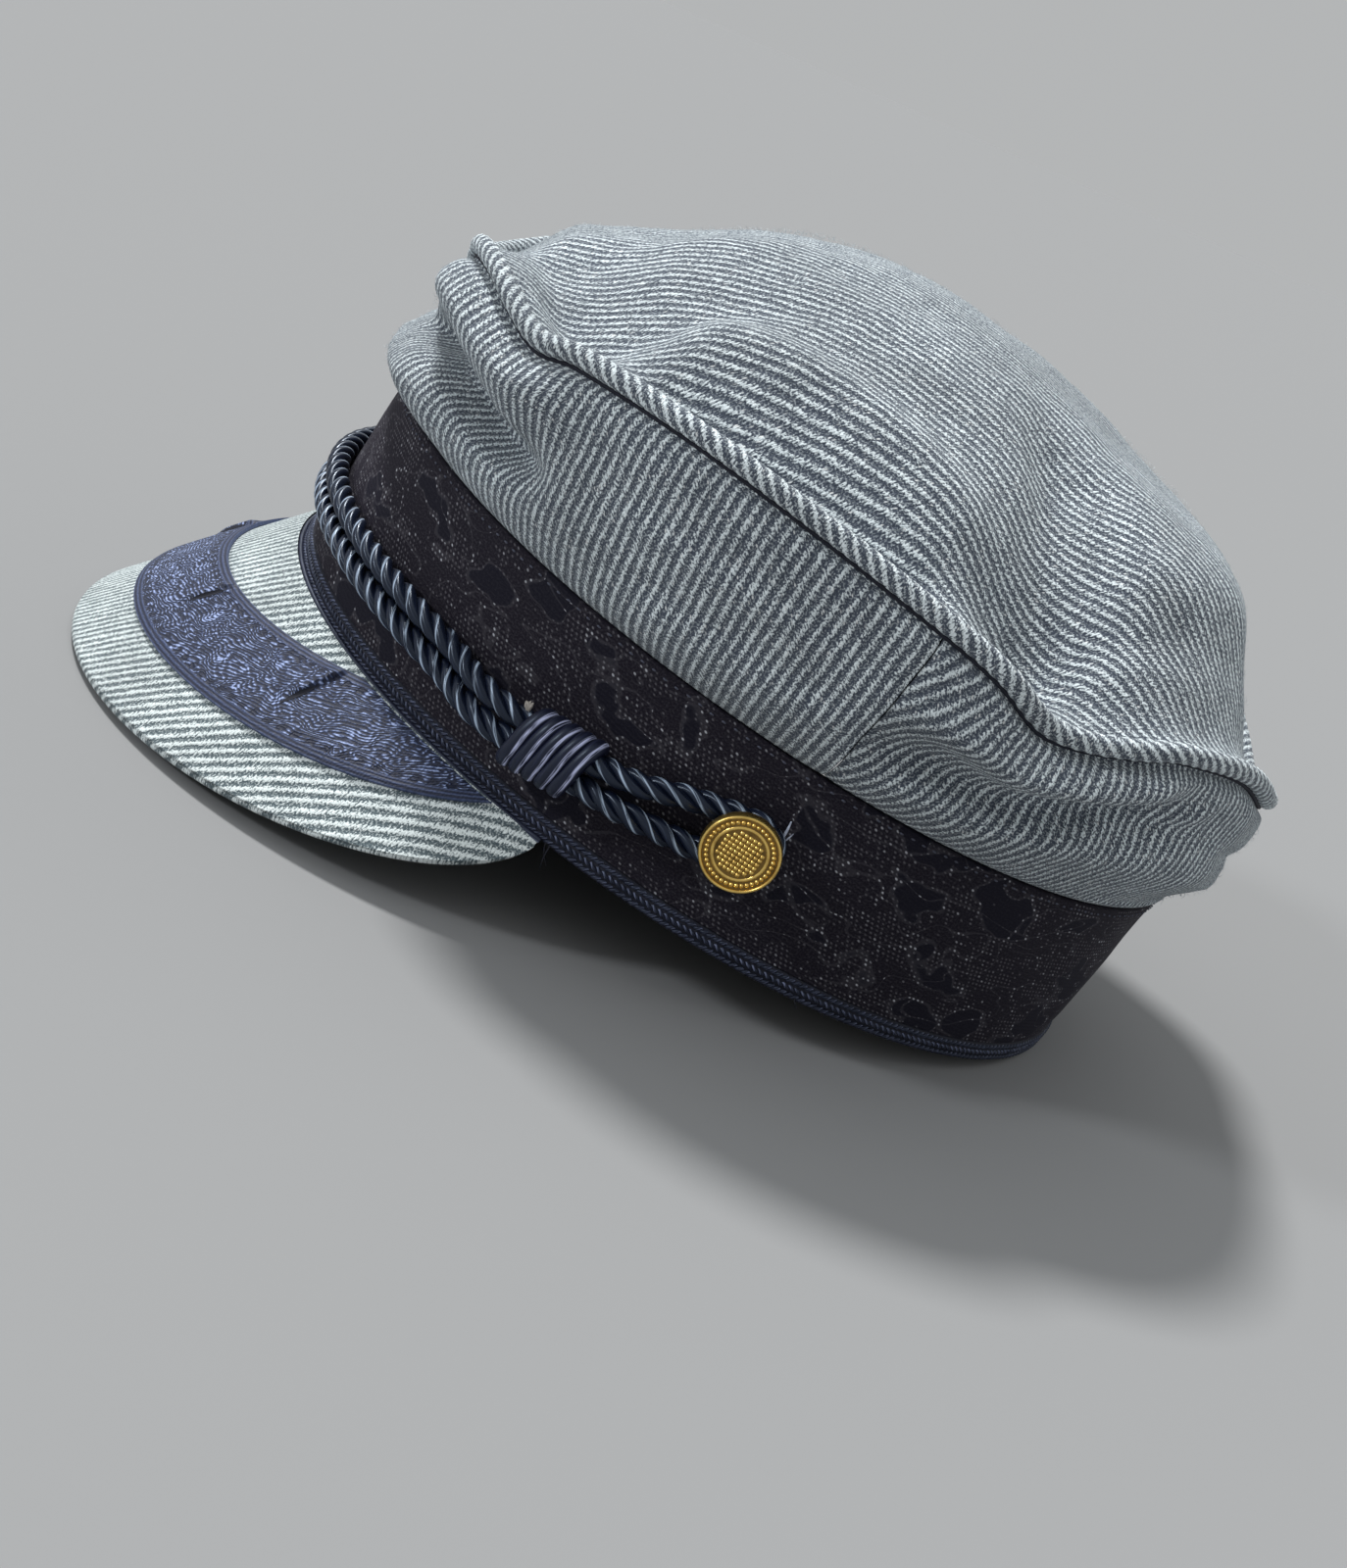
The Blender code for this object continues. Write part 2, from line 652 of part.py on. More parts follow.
def lay_down(cap):
    """Leans the cap back until the visor's edge and the back of the hem are level, and puts
    the origin under the middle of its box."""
    bpy.context.view_layer.update()
    back_y = BAND_HALF_LENGTH + HEM_PROUD
    visor = evaluated_points(bpy.data.objects["visor"])
    lean = max(math.atan2(-point.z, back_y - point.y) for point in visor)
    cap.rotation_euler = (-lean, 0.0, 0.0)
    bpy.context.view_layer.update()
    points = [p for obj in cap.children for p in evaluated_points(obj)]
    low = Vector([min(p[i] for p in points) for i in range(3)])
    high = Vector([max(p[i] for p in points) for i in range(3)])
    cap.location = (-(low.x + high.x) / 2, -(low.y + high.y) / 2, -low.z)


def main():
    for obj in list(bpy.data.objects):
        bpy.data.objects.remove(obj, do_unlink=True)
    cap = bpy.data.objects.new("cap", None)
    bpy.context.scene.collection.objects.link(cap)
    make_band(cap)
    make_hem(cap)
    make_side_panel("crown_front_panel", -SIDE_SEAM_ANGLE, SIDE_SEAM_ANGLE, cap)
    make_side_panel("crown_back_panel", SIDE_SEAM_ANGLE, 360.0 - SIDE_SEAM_ANGLE, cap)
    make_crown_top(cap)
    make_piping(cap)
    make_visor(cap)
    make_visor_ribbon(cap)
    make_cord(cap)
    make_knot("knot_left", 1, cap)
    make_knot("knot_right", -1, cap)
    make_button("button_left", 1, cap)
    make_button("button_right", -1, cap)
    lay_down(cap)


main()
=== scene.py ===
"""Looks of the fisherman cap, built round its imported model: cloth, braid, cord and brass."""

import json
import math

import bpy
import numpy as np
from mathutils import Matrix, Vector, noise


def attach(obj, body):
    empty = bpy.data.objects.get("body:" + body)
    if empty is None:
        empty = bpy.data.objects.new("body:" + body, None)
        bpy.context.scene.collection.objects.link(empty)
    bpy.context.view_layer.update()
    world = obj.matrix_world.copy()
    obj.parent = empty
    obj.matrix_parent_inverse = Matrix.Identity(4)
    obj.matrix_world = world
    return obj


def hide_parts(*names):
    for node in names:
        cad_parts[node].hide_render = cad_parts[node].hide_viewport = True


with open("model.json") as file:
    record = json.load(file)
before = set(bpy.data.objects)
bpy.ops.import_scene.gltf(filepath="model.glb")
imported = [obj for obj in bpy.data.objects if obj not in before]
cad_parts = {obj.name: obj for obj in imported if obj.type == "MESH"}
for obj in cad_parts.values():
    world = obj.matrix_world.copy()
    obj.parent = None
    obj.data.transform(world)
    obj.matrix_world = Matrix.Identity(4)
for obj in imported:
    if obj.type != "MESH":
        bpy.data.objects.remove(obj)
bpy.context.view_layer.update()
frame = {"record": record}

# Sizes and tables in millimetres, on the plane of the cap's own rim: the visor points to -Y,
# the wearer's left is +X and the crown is up.
GAP = 0.3
BAND_HALF_WIDTH, BAND_HALF_LENGTH, BAND_HEIGHT = 87.0, 104.7, 44.6
BAND_SETBACK, BAND_WALL, HEM_HEIGHT, HEM_PROUD = 1.3, 2.2, 4.6, 0.7
CLOTH_WALL, CROWN_HALF_WIDTH, CROWN_HALF_LENGTH = 1.6, 103.0, 109.3
CROWN_SETBACK, CROWN_SQUARENESS, CROWN_SIDE_RISE, CROWN_ROLL = 0.8, 2.1, 45.0, 5.0
DOME_RISE, DOME_BASE_SHARE, PIPING_DIAMETER, SIDE_SEAM_ANGLE = 41.0, 0.88, 4.2, 104.5
VISOR_DEPTH, VISOR_BOARD, VISOR_SPAN = 58.0, 2.4, 84.0
VISOR_SLOPE_FRONT, VISOR_SLOPE_SIDE, VISOR_SPLAY, VISOR_FULLNESS = 51.0, 46.0, 1.14, 0.68
RIBBON_WIDTH, RIBBON_MARGIN, RIBBON_WALL = 23.0, 16.0, 1.0
PLEAT_RAISE, PLEAT_LENGTH, PLEAT_SKEW = 1.1, 7.0, 2.4
PLEAT_ANGLES = (-53.0, -29.0, 0.0, 29.0, 53.0)
CORD_DIAMETER, CORD_SPACING, KNOT_LENGTH, KNOT_WRAP = 5.2, 10.5, 18.0, 2.3
KNOT_ANGLE, KNOT_CLEARANCE = 80.0, 0.5
BUTTON_ANGLE, BUTTON_HEIGHT, BUTTON_DIAMETER, BUTTON_THICKNESS = 101.5, 25.4, 16.6, 3.4
BUTTON_SHANK_DIAMETER = 3.4
LOOP_HALF_GAP = BUTTON_SHANK_DIAMETER / 2 + CORD_DIAMETER / 2 + 0.9
RIB_PERIOD = 2.35
UP = np.array([0.0, 0.0, 1.0])
ALL_ROUND = np.linspace(-180, 180, 1441)[:-1]

# The piped seam: angle from the front, share of the side's rise, share of the half width inset
SEAM_SECTIONS = (
    (-170, 0.64, 0.000), (-160, 0.72, 0.000), (-150, 0.83, 0.000), (-140, 0.92, 0.000),
    (-120, 0.89, 0.005), (-105, 0.95, 0.000), (-90, 1.00, 0.000), (-70, 0.98, 0.000),
    (-50, 0.91, 0.000), (-30, 0.85, 0.010), (-20, 0.75, 0.025), (-10, 0.68, 0.035),
    (0, 0.66, 0.045), (15, 0.71, 0.060), (25, 0.81, 0.042), (31, 0.90, 0.014),
    (40, 0.925, 0.000), (47, 0.88, 0.000), (54, 0.85, 0.000), (60, 0.92, 0.000),
    (75, 0.995, 0.000), (90, 1.00, 0.000), (105, 0.95, 0.000), (112, 0.90, 0.000),
    (119, 0.80, 0.010), (124, 0.815, 0.008), (130, 0.885, 0.000), (137, 0.96, 0.000),
    (150, 0.96, 0.000), (165, 0.81, 0.000), (180, 0.69, 0.000),
)

# The dome: share of the way out, then share of its rise towards the front, sides and back
DOME_SECTIONS = (
    (0.00, 1.00, 1.00, 1.00), (0.23, 0.97, 0.96, 0.93), (0.46, 0.83, 0.84, 0.83),
    (0.62, 0.62, 0.64, 0.76), (0.74, 0.42, 0.40, 0.58), (0.84, 0.22, 0.15, 0.23),
    (0.92, 0.08, 0.03, 0.05), (1.00, 0.00, 0.00, 0.00),
)

# How far the side wall rolls out: share of the way up, share of the roll
SIDE_SECTIONS = (
    (0.00, 0.00), (0.06, 0.45), (0.18, 0.85), (0.34, 1.00), (0.50, 0.85), (0.66, 0.70),
    (0.82, 0.55), (0.93, 0.30), (1.00, 0.00),
)

# Folds of the side wall: start angle and share up, end angle and share up, height as a share
# of the side's rise, half width as a share of the way up. The last ones are finer creases.
SIDE_FOLDS = (
    ("front_lower_roll", -50, 0.14, 58, 0.16, 0.08, 0.12),
    ("front_groove", -45, 0.60, 66, 0.44, -0.05, 0.14),
    ("near_front_groove", 14, 0.54, 66, 0.40, -0.27, 0.10),
    ("near_front_roll", 24, 0.80, 66, 0.76, 0.08, 0.13),
    ("rear_lip", 104, 0.62, 142, 0.93, 0.11, 0.12),
    ("rear_groove", 100, 0.30, 146, 0.72, -0.14, 0.14),
    ("rear_crease", 128, 0.42, 148, 0.88, 0.04, 0.08),
    ("rear_middle_roll", 120, 0.40, 165, 0.50, 0.05, 0.16),
    ("rear_lower_tuck", 125, 0.14, 235, 0.14, -0.05, 0.14),
    ("far_groove", 206, 0.46, 258, 0.40, -0.08, 0.16),
    ("far_front_groove", 300, 0.46, 346, 0.42, -0.07, 0.15),
    ("near_pinch", 24, 0.68, 52, 0.50, -0.055, 0.05),
    ("near_pinch_lip", 30, 0.40, 58, 0.28, 0.03, 0.05),
    ("side_ripple", 74, 0.30, 104, 0.44, -0.022, 0.07),
    ("side_ripple_lip", 70, 0.52, 100, 0.62, 0.018, 0.07),
    ("rear_ripple", 108, 0.52, 134, 0.66, -0.03, 0.045),
    ("nape_ripple", 150, 0.62, 196, 0.54, -0.03, 0.07),
    ("nape_lip", 158, 0.30, 214, 0.34, 0.025, 0.07),
    ("far_ripple", 262, 0.60, 296, 0.52, -0.025, 0.07),
)

# Folds of the top: start and end as shares of half width and half length, height as a share
# of the dome's rise, half width as a share of the crown's half width
TOP_FOLDS = (
    ("side_valley", 0.89, -0.34, 0.93, 0.16, -0.20, 0.070),
    ("front_dent", 0.72, -0.58, 0.44, -0.66, -0.13, 0.12),
    ("near_ridge", 0.72, -0.36, 0.77, 0.16, 0.16, 0.085),
    ("rear_valley", 0.84, 0.42, 0.46, 0.30, -0.16, 0.12),
    ("rear_shelf", 0.66, 0.66, 0.30, 0.78, 0.14, 0.16),
    ("far_valley", -0.84, 0.30, -0.60, 0.44, -0.08, 0.14),
    ("far_front_dent", -0.62, -0.62, -0.46, -0.48, -0.06, 0.14),
    ("front_crease", 0.66, -0.46, 0.52, -0.30, -0.025, 0.05),
    ("side_crease", 0.76, -0.16, 0.80, 0.20, -0.02, 0.04),
    ("rear_crease", 0.72, 0.46, 0.52, 0.42, -0.03, 0.05),
    ("rear_crease_lip", 0.70, 0.54, 0.50, 0.52, 0.02, 0.05),
    ("nape_crease", 0.40, 0.86, 0.10, 0.88, -0.02, 0.05),
    ("front_swell", -0.06, -0.86, 0.32, -0.77, 0.18, 0.12),
    ("rear_swell", 0.10, 0.80, -0.30, 0.78, 0.06, 0.16),
)

# The doubled cord: angle from the front, height between its strands, half their distance
CORD_ROUTE = (
    (0, 17.2, 2.75), (20, 17.2, 2.75), (40, 17.3, 2.75), (60, 17.4, 2.75), (70, 17.0, 2.75),
    (75, 17.3, 2.75), (80, 18.6, 2.75), (86, 20.0, 2.85), (90, 21.2, 3.60),
    (94, 22.6, 4.50), (97, 23.7, 5.00), (BUTTON_ANGLE, BUTTON_HEIGHT, LOOP_HALF_GAP),
)


def placed():
    """The matrix from the rim's own plane to the row frame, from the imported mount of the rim."""
    mount = next(m for m in frame["record"]["mounts"] if m["name"] == "head_opening")
    down = mount["axis"]
    lean = math.atan2(-down[1], -down[2])
    return Matrix.Translation(mount["pos_m"]) @ Matrix.Rotation(-lean, 4, "X")


PLACE = placed()
TURN = np.array(PLACE.to_3x3())
SHIFT = np.array(PLACE.translation)


# Shapes, worked out for whole arrays of angles and shares at once


def oval(angle, half_width, half_length, centre_y=0.0, squareness=2.0):
    """Points of an upright oval at angles in degrees, from the front towards +X."""
    s, c = np.sin(np.radians(angle)), np.cos(np.radians(angle))
    power = 2.0 / squareness
    x = half_width * np.sign(s) * np.abs(s) ** power
    y = centre_y - half_length * np.sign(c) * np.abs(c) ** power
    return np.stack(np.broadcast_arrays(x, y, 0.0 * x * y), -1)


def outward(angle):
    """The level directions that point out of the band."""
    s, c = np.sin(np.radians(angle)), np.cos(np.radians(angle))
    way = np.stack([s / BAND_HALF_WIDTH, -c / BAND_HALF_LENGTH, 0.0 * s], -1)
    return way / np.linalg.norm(way, axis=-1, keepdims=True)


def band_point(angle, proud, height):
    """Points at a distance out from the band's outside."""
    angle, proud, height = np.broadcast_arrays(
        np.asarray(angle, float), np.asarray(proud, float), np.asarray(height, float)
    )
    setback = BAND_SETBACK * height / BAND_HEIGHT
    point = oval(angle, BAND_HALF_WIDTH + proud, BAND_HALF_LENGTH + proud, setback)
    point[..., 2] = height
    return point


def angle_at(line):
    """The band's angle beside each point of a line."""
    return np.degrees(np.arctan2(line[:, 0] / BAND_HALF_WIDTH, -line[:, 1] / BAND_HALF_LENGTH))


def round_band(profile, angles):
    """A profile's distances out and heights, carried round the band."""
    return np.array(profile).T[..., None] + 0 * angles


def curve_through(rows, at, column=1):
    """The smooth curve through a table's rows, by cubic pieces with the neighbours' slopes."""
    rows = np.asarray(rows, float)
    last = len(rows) - 1
    k = np.clip(np.searchsorted(rows[:, 0], at, side="right") - 1, 0, last - 1)
    x, y = rows[:, 0], rows[:, column]
    before, after = np.maximum(k - 1, 0), np.minimum(k + 2, last)
    slope0 = (y[k + 1] - y[before]) / (x[k + 1] - x[before])
    slope1 = (y[after] - y[k]) / (x[after] - x[k])
    span = x[k + 1] - x[k]
    t = np.clip((at - x[k]) / span, 0.0, 1.0)
    return (
        y[k] * (2 * t**3 - 3 * t**2 + 1)
        + slope0 * span * (t**3 - 2 * t**2 + t)
        + y[k + 1] * (3 * t**2 - 2 * t**3)
        + slope1 * span * (t**3 - t**2)
    )


def ease(t):
    """0 up to 1, with level ends."""
    t = np.clip(t, 0.0, 1.0)
    return t * t * (3 - 2 * t)


def seam_share(angle, column):
    """One column of the seam's table. The table closes on itself."""
    angle = (np.asarray(angle, float) + 180.0) % 360.0 - 180.0
    before = [(row[0] - 360, *row[1:]) for row in SEAM_SECTIONS[-2:]]
    after = [(row[0] + 360, *row[1:]) for row in SEAM_SECTIONS[:2]]
    return curve_through([*before, *SEAM_SECTIONS, *after], angle, column)


def seam_point(angle, inset=0.0, drop=0.0):
    """Points beside the piping's centre line, inset towards the middle and dropped below."""
    inset = inset + CROWN_HALF_WIDTH * seam_share(angle, 2)
    point = oval(
        angle,
        CROWN_HALF_WIDTH - inset,
        CROWN_HALF_LENGTH - inset,
        CROWN_SETBACK,
        CROWN_SQUARENESS,
    )
    point[..., 2] = BAND_HEIGHT + CROWN_SIDE_RISE * seam_share(angle, 1) - drop
    return point


def side_fold(angle, up):
    """How far the folds move the side wall outwards, as a share of its rise."""
    total = np.zeros(np.broadcast(angle, up).shape)
    for _, angle0, up0, angle1, up1, height, width in SIDE_FOLDS:
        for turn in (angle - 360.0, angle, angle + 360.0):
            along = (turn - angle0) / (angle1 - angle0)
            inside = (along > 0.0) & (along < 1.0)
            ends = ease(along * 4) * ease((1 - along) * 4)
            line = up0 + (up1 - up0) * along
            total += inside * height * ends * np.exp(-(((up - line) / width) ** 2))
    return total * ease(up * 12) * ease((1 - up) * 12)


def side_point(angle, up, stand=0.0):
    """The outside of the crown's side wall, a share of the way up from band to piping."""
    tuck = CLOTH_WALL / 2
    low = band_point(angle, tuck - BAND_WALL / 2, BAND_HEIGHT + GAP)
    high = seam_point(angle, -tuck, PIPING_DIAMETER / 2 + GAP)
    roll = CROWN_ROLL * curve_through(SIDE_SECTIONS, up)
    roll = roll + CROWN_SIDE_RISE * side_fold(angle, up) + stand
    return low + (high - low) * up[..., None] + outward(angle) * roll[..., None]


def top_fold(x, y):
    """How far the folds lift the top at a place, as a share of the dome's rise."""
    total = np.zeros(np.broadcast(x, y).shape)
    x, y = x / CROWN_HALF_WIDTH, y / CROWN_HALF_LENGTH
    for _, x0, y0, x1, y1, height, width in TOP_FOLDS:
        dx, dy = x1 - x0, y1 - y0
        along = np.clip(((x - x0) * dx + (y - y0) * dy) / (dx * dx + dy * dy), 0, 1)
        away2 = (x - x0 - dx * along) ** 2 + (y - y0 - dy * along) ** 2
        total += height * np.exp(-away2 / width**2)
    return total


def top_point(angle, out):
    """The outside of the crown's top, a share of the way out from its middle to the piping."""
    rim_point = seam_point(angle, PIPING_DIAMETER / 2 + GAP)
    x = rim_point[..., 0] * out
    y = (rim_point[..., 1] - CROWN_SETBACK) * out
    forward = np.cos(np.radians(angle))
    to_front = curve_through(DOME_SECTIONS, out, 1)
    to_back = curve_through(DOME_SECTIONS, out, 3)
    to_end = np.where(forward > 0, to_front, to_back)
    to_side = curve_through(DOME_SECTIONS, out, 2)
    dome = to_side + (to_end - to_side) * forward**2
    base = BAND_HEIGHT + CROWN_SIDE_RISE * DOME_BASE_SHARE
    rim = base + (rim_point[..., 2] + CLOTH_WALL / 2 - base) * out**3
    z = rim + DOME_RISE * (dome + top_fold(x, y) * ease((1 - out) * 8))
    return np.stack([x, y + CROWN_SETBACK, z], -1)


def visor_reach(angle):
    """How far the visor runs out from the hem."""
    return VISOR_DEPTH * (1 - (angle / VISOR_SPAN) ** 2) ** VISOR_FULLNESS


def visor_axes(angle):
    """The visor's line down and its upper face's normal."""
    share = (angle / VISOR_SPAN) ** 2
    slope = VISOR_SLOPE_FRONT + (VISOR_SLOPE_SIDE - VISOR_SLOPE_FRONT) * share
    slope, turn = np.radians(slope), np.radians(VISOR_SPLAY * angle)
    level = np.stack([np.sin(turn), -np.cos(turn), 0.0 * turn], -1)
    sin, cos = np.sin(slope)[..., None], np.cos(slope)[..., None]
    return level * cos - UP * sin, level * sin + UP * cos


def visor_point(angle, along, lift=0.0):
    """The visor's upper face, a share of the way from the hem to its edge, or lifted off it."""
    down, up = visor_axes(angle)
    start = band_point(angle, HEM_PROUD + GAP, -GAP)
    reach = (visor_reach(angle) * along)[..., None]
    lift = np.asarray(lift + VISOR_BOARD / 2 + 0.0 * along)[..., None]
    return start + down * reach + up * lift


def rough(points, size, height, seed, octaves=2):
    """Smooth noise of a size in millimetres at each point, about -height to height."""
    flat = points.reshape(-1, 3) / size
    shift = Vector((seed * 7.3, seed * 3.1, seed * 5.7))
    found = [noise.fractal(Vector(p) + shift, 1.0, 2.0, octaves) for p in flat]
    return height * np.array(found).reshape(points.shape[:-1])


def run_along(line):
    """The length run at each point of a line, or of many lines side by side."""
    steps = np.linalg.norm(np.diff(line, axis=0), axis=-1)
    return np.concatenate([np.zeros((1, *steps.shape[1:])), np.cumsum(steps, axis=0)])


def spread(path, count):
    """A closed line divided into even lengths, and the length run at each point."""
    path = np.vstack([path, path[:1]])
    run = run_along(path)
    at = np.linspace(0, run[-1], count + 1)
    even = np.stack([np.interp(at, run, path[:, i]) for i in range(3)], -1)
    return even[:-1], at


def smooth_loop(points, per_span=12):
    """A closed line through points, by cubic pieces with the neighbours' slopes."""
    p0, p1 = np.roll(points, 1, 0), points
    p2, p3 = np.roll(points, -1, 0), np.roll(points, -2, 0)
    t = np.linspace(0, 1, per_span, endpoint=False)[None, :, None]
    p0, p1, p2, p3 = (p[:, None] for p in (p0, p1, p2, p3))
    line = 0.5 * (
        2 * p1
        + (p2 - p0) * t
        + (2 * p0 - 5 * p1 + 4 * p2 - p3) * t**2
        + (3 * p1 - p0 - 3 * p2 + p3) * t**3
    )
    return line.reshape(-1, 3)


def line_axes(path, near, closed=True):
    """At each point of a line: the way along it, the side nearest a direction, and across."""
    if closed:
        along = np.roll(path, -1, 0) - np.roll(path, 1, 0)
    else:
        along = np.gradient(path, axis=0)
    along = along / np.linalg.norm(along, axis=1, keepdims=True)
    side = near - along * (near * along).sum(1, keepdims=True)
    side = side / np.linalg.norm(side, axis=1, keepdims=True)
    return along, side, np.cross(along, side)


# Meshes


def patch(points, uv, closed=False, flip=False):
    """Points and quads of a grid. Where it is closed, the uv grid has one column more."""
    rows, columns = points.shape[:2]
    spans = np.arange(columns if closed else columns - 1)
    i, j = np.meshgrid(np.arange(rows - 1), spans, indexing="ij")

    def corners_of(wide, after):
        this_row, next_row = i * wide, (i + 1) * wide
        found = [this_row + j, this_row + after, next_row + after, next_row + j]
        return np.stack(found, -1).reshape(-1, 4)

    quads = corners_of(columns, (j + 1) % columns)
    corners = corners_of(uv.shape[1], j + 1)
    if flip:
        quads, corners = quads[:, ::-1], corners[:, ::-1]
    return points.reshape(-1, 3), quads, uv.reshape(-1, 2)[corners]


def tube(path, near, radius, sides, closed=True, squash=1.0, swell=None):
    """A tube round a line. uv runs along it and round it, in millimetres.

    The swell is the radius at each point of the line, or at each point of the tube.
    """
    _, side, across = line_axes(path, near, closed)
    turn = 2 * math.pi * np.arange(sides) / sides
    r = np.full((len(path), 1), float(radius)) if swell is None else swell
    ring = (
        path[:, None]
        + side[:, None] * (r * np.cos(turn) * squash)[..., None]
        + across[:, None] * (r * np.sin(turn))[..., None]
    )
    if closed:
        ring = np.concatenate([ring, ring[:1]])
    run = run_along(np.vstack([path, path[:1]]))[: len(ring)]
    girth = 2 * math.pi * radius * np.arange(sides + 1) / sides
    u, v = np.meshgrid(run, girth, indexing="ij")
    points, quads, corners = patch(ring, np.stack([u, v], -1), closed=True)
    if closed:
        count = len(path) * sides
        points, quads = points[:count], quads % count
    return points, quads[:, ::-1], corners[:, ::-1]


def build(name, parts, materials, node=None, which=None):
    """One mesh from patches, placed in the row frame, riding on the cap's body."""
    which = which or [0] * len(parts)
    sizes = [len(points) for points, _, _ in parts]
    starts = np.r_[0, np.cumsum(sizes)]
    points = np.concatenate([p for p, _, _ in parts]) * 0.001 @ TURN.T + SHIFT
    quads = np.concatenate([q + start for (_, q, _), start in zip(parts, starts)])
    corners = np.concatenate([c for _, _, c in parts])
    index = np.concatenate([np.full(len(q), k) for (_, q, _), k in zip(parts, which)])
    mesh = bpy.data.meshes.new(name)
    mesh.vertices.add(len(points))
    mesh.vertices.foreach_set("co", points.astype(np.float32).ravel())
    mesh.loops.add(quads.size)
    mesh.loops.foreach_set("vertex_index", quads.astype(np.int32).ravel())
    mesh.polygons.add(len(quads))
    mesh.polygons.foreach_set("loop_start", np.arange(len(quads), dtype=np.int32) * 4)
    for material in materials:
        mesh.materials.append(material)
    mesh.polygons.foreach_set("material_index", index.astype(np.int32))
    layer = mesh.uv_layers.new(name="cloth")
    layer.data.foreach_set("uv", corners.astype(np.float32).ravel())
    mesh.update(calc_edges=True)
    mesh.validate()
    mesh.shade_smooth()
    made = bpy.data.objects.new(name, mesh)
    bpy.context.scene.collection.objects.link(made)
    if node:
        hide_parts(node)
    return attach(made, "root")


# Materials


class Value:
    """What a node puts out. It takes part in sums like a number."""

    def __init__(self, graph, socket):
        self.graph = graph
        self.socket = socket

    def __add__(self, other):
        return self.graph.math("ADD", self, other)

    def __sub__(self, other):
        return self.graph.math("SUBTRACT", self, other)

    def __rsub__(self, other):
        return self.graph.math("SUBTRACT", other, self)

    def __mul__(self, other):
        return self.graph.math("MULTIPLY", self, other)

    def __truediv__(self, other):
        return self.graph.math("DIVIDE", self, other)

    def __abs__(self):
        return self.graph.math("ABSOLUTE", self)


class Graph:
    """A material whose nodes are added by short calls. Its uv map is in millimetres."""

    def __init__(self, name):
        self.material = bpy.data.materials.new(name)
        self.material.use_nodes = True
        self.tree = self.material.node_tree
        self.shader = self.tree.nodes["Principled BSDF"]

    def put(self, socket, value):
        """Links a value to a socket, or sets the socket to a number or a colour."""
        if isinstance(value, Value):
            self.tree.links.new(value.socket, socket)
        else:
            socket.default_value = (*value, 1.0) if isinstance(value, tuple) else value

    def add(self, kind, inputs=(), **settings):
        """A new node's outputs, once its settings and its inputs are in place."""
        made = self.tree.nodes.new(kind)
        for key, value in settings.items():
            setattr(made, key, value)
        for key, value in dict(inputs).items():
            self.put(made.inputs[key], value)
        return [Value(self, socket) for socket in made.outputs]

    def math(self, operation, *values):
        return self.add("ShaderNodeMath", enumerate(values), operation=operation)[0]

    def step(self, value, low, high, to_low=0.0, to_high=1.0):
        """A smooth step of a value between two limits."""
        inputs = enumerate((value, low, high, to_low, to_high))
        return self.add("ShaderNodeMapRange", inputs, interpolation_type="SMOOTHSTEP")[0]

    def uv(self):
        uv = self.add("ShaderNodeUVMap", uv_map="cloth")[0]
        return self.add("ShaderNodeSeparateXYZ", {0: uv})[:2]

    def place(self, u, v, size_u, size_v, shift=0.0):
        """A vector of u and v, each over its own size in millimetres."""
        return self.add("ShaderNodeCombineXYZ", {0: u / size_u, 1: v / size_v, 2: shift})[0]

    def noise(self, vector, detail=1.0, roughness=0.5, distortion=0.0):
        inputs = {"Vector": vector, "Scale": 1.0, "Detail": detail}
        inputs |= {"Roughness": roughness, "Distortion": distortion}
        return self.add("ShaderNodeTexNoise", inputs)[0]

    def cloud(self, u, v, size_u, size_v, shift, low, high, detail=1.0):
        """Noise of a size in millimetres, as a smooth step between two limits."""
        return self.step(self.noise(self.place(u, v, size_u, size_v, shift), detail), low, high)

    def cells(self, vector, randomness=1.0):
        """The distance from each cell's middle, and each cell's own random colour."""
        inputs = {"Vector": vector, "Scale": 1.0, "Randomness": randomness}
        return self.add("ShaderNodeTexVoronoi", inputs, feature="F1")[:2]

    def wave(self, at, period):
        """0 to 1 and back, once each period."""
        return self.math("COSINE", at * (2 * math.pi / period)) * 0.5 + 0.5

    def mix(self, factor, a, b, blend="MIX"):
        inputs = {0: factor, 6: a, 7: b}
        return self.add("ShaderNodeMix", inputs, data_type="RGBA", blend_type=blend)[2]

    def finish(self, colour, height, depth, roughness, **fixed):
        """Sets the shader: its colour, its relief of a depth in millimetres, and the rest."""
        relief = {"Height": height, "Strength": 1.0, "Distance": depth * 0.001}
        normal = self.add("ShaderNodeBump", relief)[0]
        fixed |= {"Base_Color": colour, "Roughness": roughness, "Normal": normal}
        for key, value in fixed.items():
            self.put(self.shader.inputs[key.replace("_", " ")], value)
        return self.material


